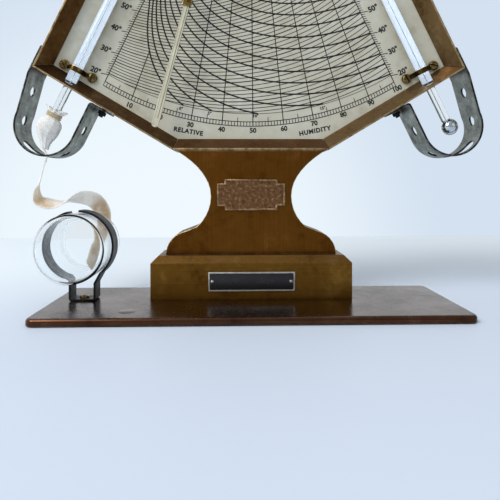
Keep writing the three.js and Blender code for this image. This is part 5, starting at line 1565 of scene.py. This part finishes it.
sleeve_points = []
start, axis, out_way = tube_place(-1, 0, 0), tube_axis(-1), tube_out(-1)
low_end, high_end = sleeve_stations[0][0], sleeve_stations[-1][0]
for layer in ("outer", "inner"):
    for row in range(sleeve_rows + 1):
        place = low_end + (high_end - low_end) * row / sleeve_rows
        _, inner, thick, fold = smooth_between(sleeve_stations, place)
        frill = max(0.0, (place - 8.9) / 2.3)
        hang = Vector((2.8, 0, -2.3)) * mm * (max(0.0, -place) / 12) ** 2
        for k in range(sleeve_turns):
            angle = 2 * pi * k / sleeve_turns
            wander = noise.noise(Vector((cos(angle) * 2, sin(angle) * 2, place * 0.12)))
            pleat = cos(pleats * angle + 1.5 * wander + 0.04 * place)
            if frill:
                pleat = 1 - 2 * abs((pleats * angle / (2 * pi) + 0.25 * wander) % 1 - 0.5) * 2
            radius = inner + (thick if layer == "outer" else 0)
            radius += fold * (pleat if layer == "outer" else pleat * min(frill, 1) * 0.9)
            radius += 0.12 * noise.noise(Vector((cos(angle) * 6, sin(angle) * 6, place * 0.9)))
            up = place + frill * (0.7 * pleat + 0.5 * wander)
            if layer == "inner":
                radius = max(radius, min(inner, 0.3))
            spin = out_way * cos(angle) + Vector((0, 1, 0)) * sin(angle)
            sleeve_points.append(start + axis * up * mm + spin * radius * mm + hang)
layer_size, last_row = len(sleeve_points) // 2, sleeve_rows * sleeve_turns
row_starts = range(0, last_row, sleeve_turns)
sleeve_faces = [face for a in row_starts for face in band(a, a + sleeve_turns, sleeve_turns)]
sleeve_faces += [tuple(layer_size + corner for corner in reversed(face)) for face in sleeve_faces]
low_rim = [(a, d, c, b) for a, b, c, d in band(0, layer_size, sleeve_turns)]
high_rim = [tuple(last_row + corner for corner in reversed(face)) for face in low_rim]
sleeve_faces += low_rim + high_rim
sleeve = closed_mesh("wick_sleeve_cloth", sleeve_points, sleeve_faces, 80)
dress(sleeve, "stand", "cotton", ["wick_sleeve"])

# %% The thread that ties it: three turns of two-ply thread
binding_low, binding_turns, binding_pitch = 6.0 * mm, 3, 0.95 * mm
coil = stem_radius + 1.65 * mm  # over the cloth, and pressed into it a little
ply_offset, ply_radius = 0.19 * mm, 0.24 * mm
plies = []
for ply in (0, 1):
    path = []
    for i in range(binding_turns * 60 + 1):
        angle = 2 * pi * i / 60
        twist = 2 * pi * i / 9 + pi * ply
        up = binding_low + binding_pitch * i / 60 + ply_offset * sin(twist)
        radius = coil + ply_offset * cos(twist)
        path.append(tube_place(-1, radius * cos(angle), up, tube_y + radius * sin(angle)))
    plies.append(swept(f"ply_{ply}", path, ply_radius, 8))
binding = joined("wick_binding_thread", plies)
shade(binding, 80)
dress(binding, "stand", "thread", ["wick_binding"])

# %% The tape's stations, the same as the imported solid's
mouth_place = Vector((clip_x, bottle_start.y + mouth, clip_z))
tape_shares = [  # a place from the bottle's mouth, the way across, and the share of the full width
    ((-1.32, -0.35, 2.26), (-0.34, 0.93, 0.12), 0.7), ((-1.43, -0.35, 1.83), (-0.35, 0.93, 0.06), 0.85),
    ((-1.5, -0.37, 1.53), (0.06, 0.99, -0.09), 0.95), ((-1.42, -0.4, 1.28), (0.4, 0.86, 0.32), 0.95),
    ((-1.18, -0.4, 1.19), (0.08, 0.76, 0.64), 0.95), ((-0.87, -0.37, 1.18), (-0.12, 0.91, 0.4), 0.95),
    ((-0.6, -0.35, 1.24), (-0.13, 0.99, -0.05), 0.95), ((-0.36, -0.3, 1.32), (-0.06, 0.79, -0.61), 0.95),
    ((-0.14, -0.22, 1.36), (-0.24, 0.46, -0.86), 1), ((0.1, -0.11, 1.29), (-0.58, 0.05, -0.81), 1),
    ((0.24, 0.08, 1.1), (-0.81, -0.21, -0.54), 1), ((0.32, 0.23, 0.83), (-0.93, -0.3, -0.22), 0.95),
    ((0.31, 0.3, 0.51), (-0.93, -0.35, 0.12), 0.85), ((0.26, 0.15, 0.18), (-0.82, -0.4, 0.4), 0.75),
    ((0.25, -0.17, -0.1), (-0.72, -0.42, 0.56), 0.7), ((0.26, -0.54, -0.35), (-0.69, -0.41, 0.59), 0.7),
    ((0.25, -0.86, -0.57), (-0.62, -0.38, 0.69), 0.7), ((0.25, -1.04, -0.62), (-0.48, -0.27, 0.83), 0.6),
]
tape_width, tape_thick = 10 * mm, 1.5 * mm
slot_place = tube_place(-1, *on_bend(radians(-110)), guard_low_y + 7.7 * mm)
stations = [(tube_place(-1, 0, -11 * mm), Vector((-0.36, 1, 0)), 0.45),
            (slot_place, Vector((-0.36, 1, 0)), 0.6)]
for place, way, share in tape_shares:
    stations.append((mouth_place + Vector(place) * ring_radius, Vector(way), share))


# %% A smooth run through the stations
def smooth_curve(places, steps):
    """A Catmull-Rom curve through the places: they are Vectors of any size."""
    made = []
    padded = [places[0] * 2 - places[1], *places, places[-1] * 2 - places[-2]]
    for a, b, c, d in zip(padded, padded[1:], padded[2:], padded[3:]):
        for i in range(steps):
            t = i / steps
            bend = (a * 2 - b * 5 + c * 4 - d) * t * t + (b * 3 - a - c * 3 + d) * t ** 3
            made.append((b * 2 + (c - a) * t + bend) / 2)
    return made + [places[-1]]


steps_between = 14
centre_line = smooth_curve([place for place, _, _ in stations], steps_between)
across_stations = [way.normalized() * share * tape_width for _, way, share in stations]
width_line = smooth_curve(across_stations, steps_between)

# %% The tape: a flat braid with thick curled edges and small creases
section_points = 36
tape_points = []
last = len(centre_line) - 1
for i, (middle, across) in enumerate(zip(centre_line, width_line)):
    run = run_at(centre_line, i)
    across = across - run * across.dot(run)
    half = across.length / 2
    across = across.normalized()
    thick = run.cross(across).normalized()
    taper = min(1.0, 0.35 + min(i, last - i) / 5)
    for k in range(section_points):
        angle = 2 * pi * k / section_points
        x, y = cos(angle), sin(angle)
        wide_share = (abs(x) ** 0.8) * (1 if x > 0 else -1)
        flat_share = (abs(y) ** 0.6) * (1 if y > 0 else -1)
        curl = 0.42 * (wide_share ** 2) * sin(i * 0.11 + 0.6)
        crease = noise.noise(Vector((wide_share * 2.4, i * 0.13, 3.0))) * 0.34
        ragged = noise.noise(Vector((i * 0.45, 5.0 if x > 0 else 9.0, 0.0))) * 0.05
        thin = 0.62 * tape_thick / 2 * (1 + 0.25 * wide_share ** 2)
        place = middle + across * half * wide_share * (1 + ragged) * taper
        lift = flat_share * thin * taper + (curl + crease) * 0.55 * mm
        tape_points.append(place + thick * lift)
tape = closed_mesh("wick_tape_braid", tape_points, tube_faces(last + 1, section_points), 80)
dress(tape, "stand", "cotton", ["wick_tape"], "thin_cotton")

# %% The stain that the water left, with painted shade on the tape's loop and flap, by station
edge_share = [1 - 0.85 * abs(cos(2 * pi * k / section_points)) ** 4 for k in range(section_points)]
stain_and_shade_at = [0, 0, 0.1, 0.3, 0.6, 0.9, 0.9, 0.6, 0.1, 0, 0, 0.2, 1, 1, 1, 0.9, 0.8, 0.7, 0.6, 0.5, 0]
values = []
for i in range(last + 1):
    whole, rest = divmod(i, steps_between)
    first, second = stain_and_shade_at[whole], stain_and_shade_at[whole + 1]
    level = first + (second - first) * rest / steps_between
    values += [level * share for share in edge_share]
tape.data.attributes.new("stain_and_shade", "FLOAT", "POINT").data.foreach_set("value", values)


# %% [markdown]
# ## What stays as packed
# Pieces that are hidden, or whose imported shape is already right, keep it. They only get a better
# finish: it goes in the object's own material slot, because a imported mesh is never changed.

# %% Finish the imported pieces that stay
stays = {
    "card": ["chart_sheet"], "wood": ["chart_board", "neck_core"],
    "brass": ["base_screw_left", "base_screw_right", "board_post_lower", "board_post_upper",
              "back_screw_lower", "back_screw_upper"],
    "steel": ["neck_bolt_left", "neck_bolt_right", "case_bolt_left", "case_bolt_right"],
}
for slot, names in stays.items():
    for held in [held for node in names for held in nodes[node].material_slots]:
        held.link = "OBJECT"
        held.material = finishes[slot]
print("kept as packed:", sorted(node for names in stays.values() for node in names))


# %% [markdown]
# ## Finish
# The view layer is brought up to date. The dressed model has to fill the same box as the
# solids.

# %% Finish
bpy.context.view_layer.update()
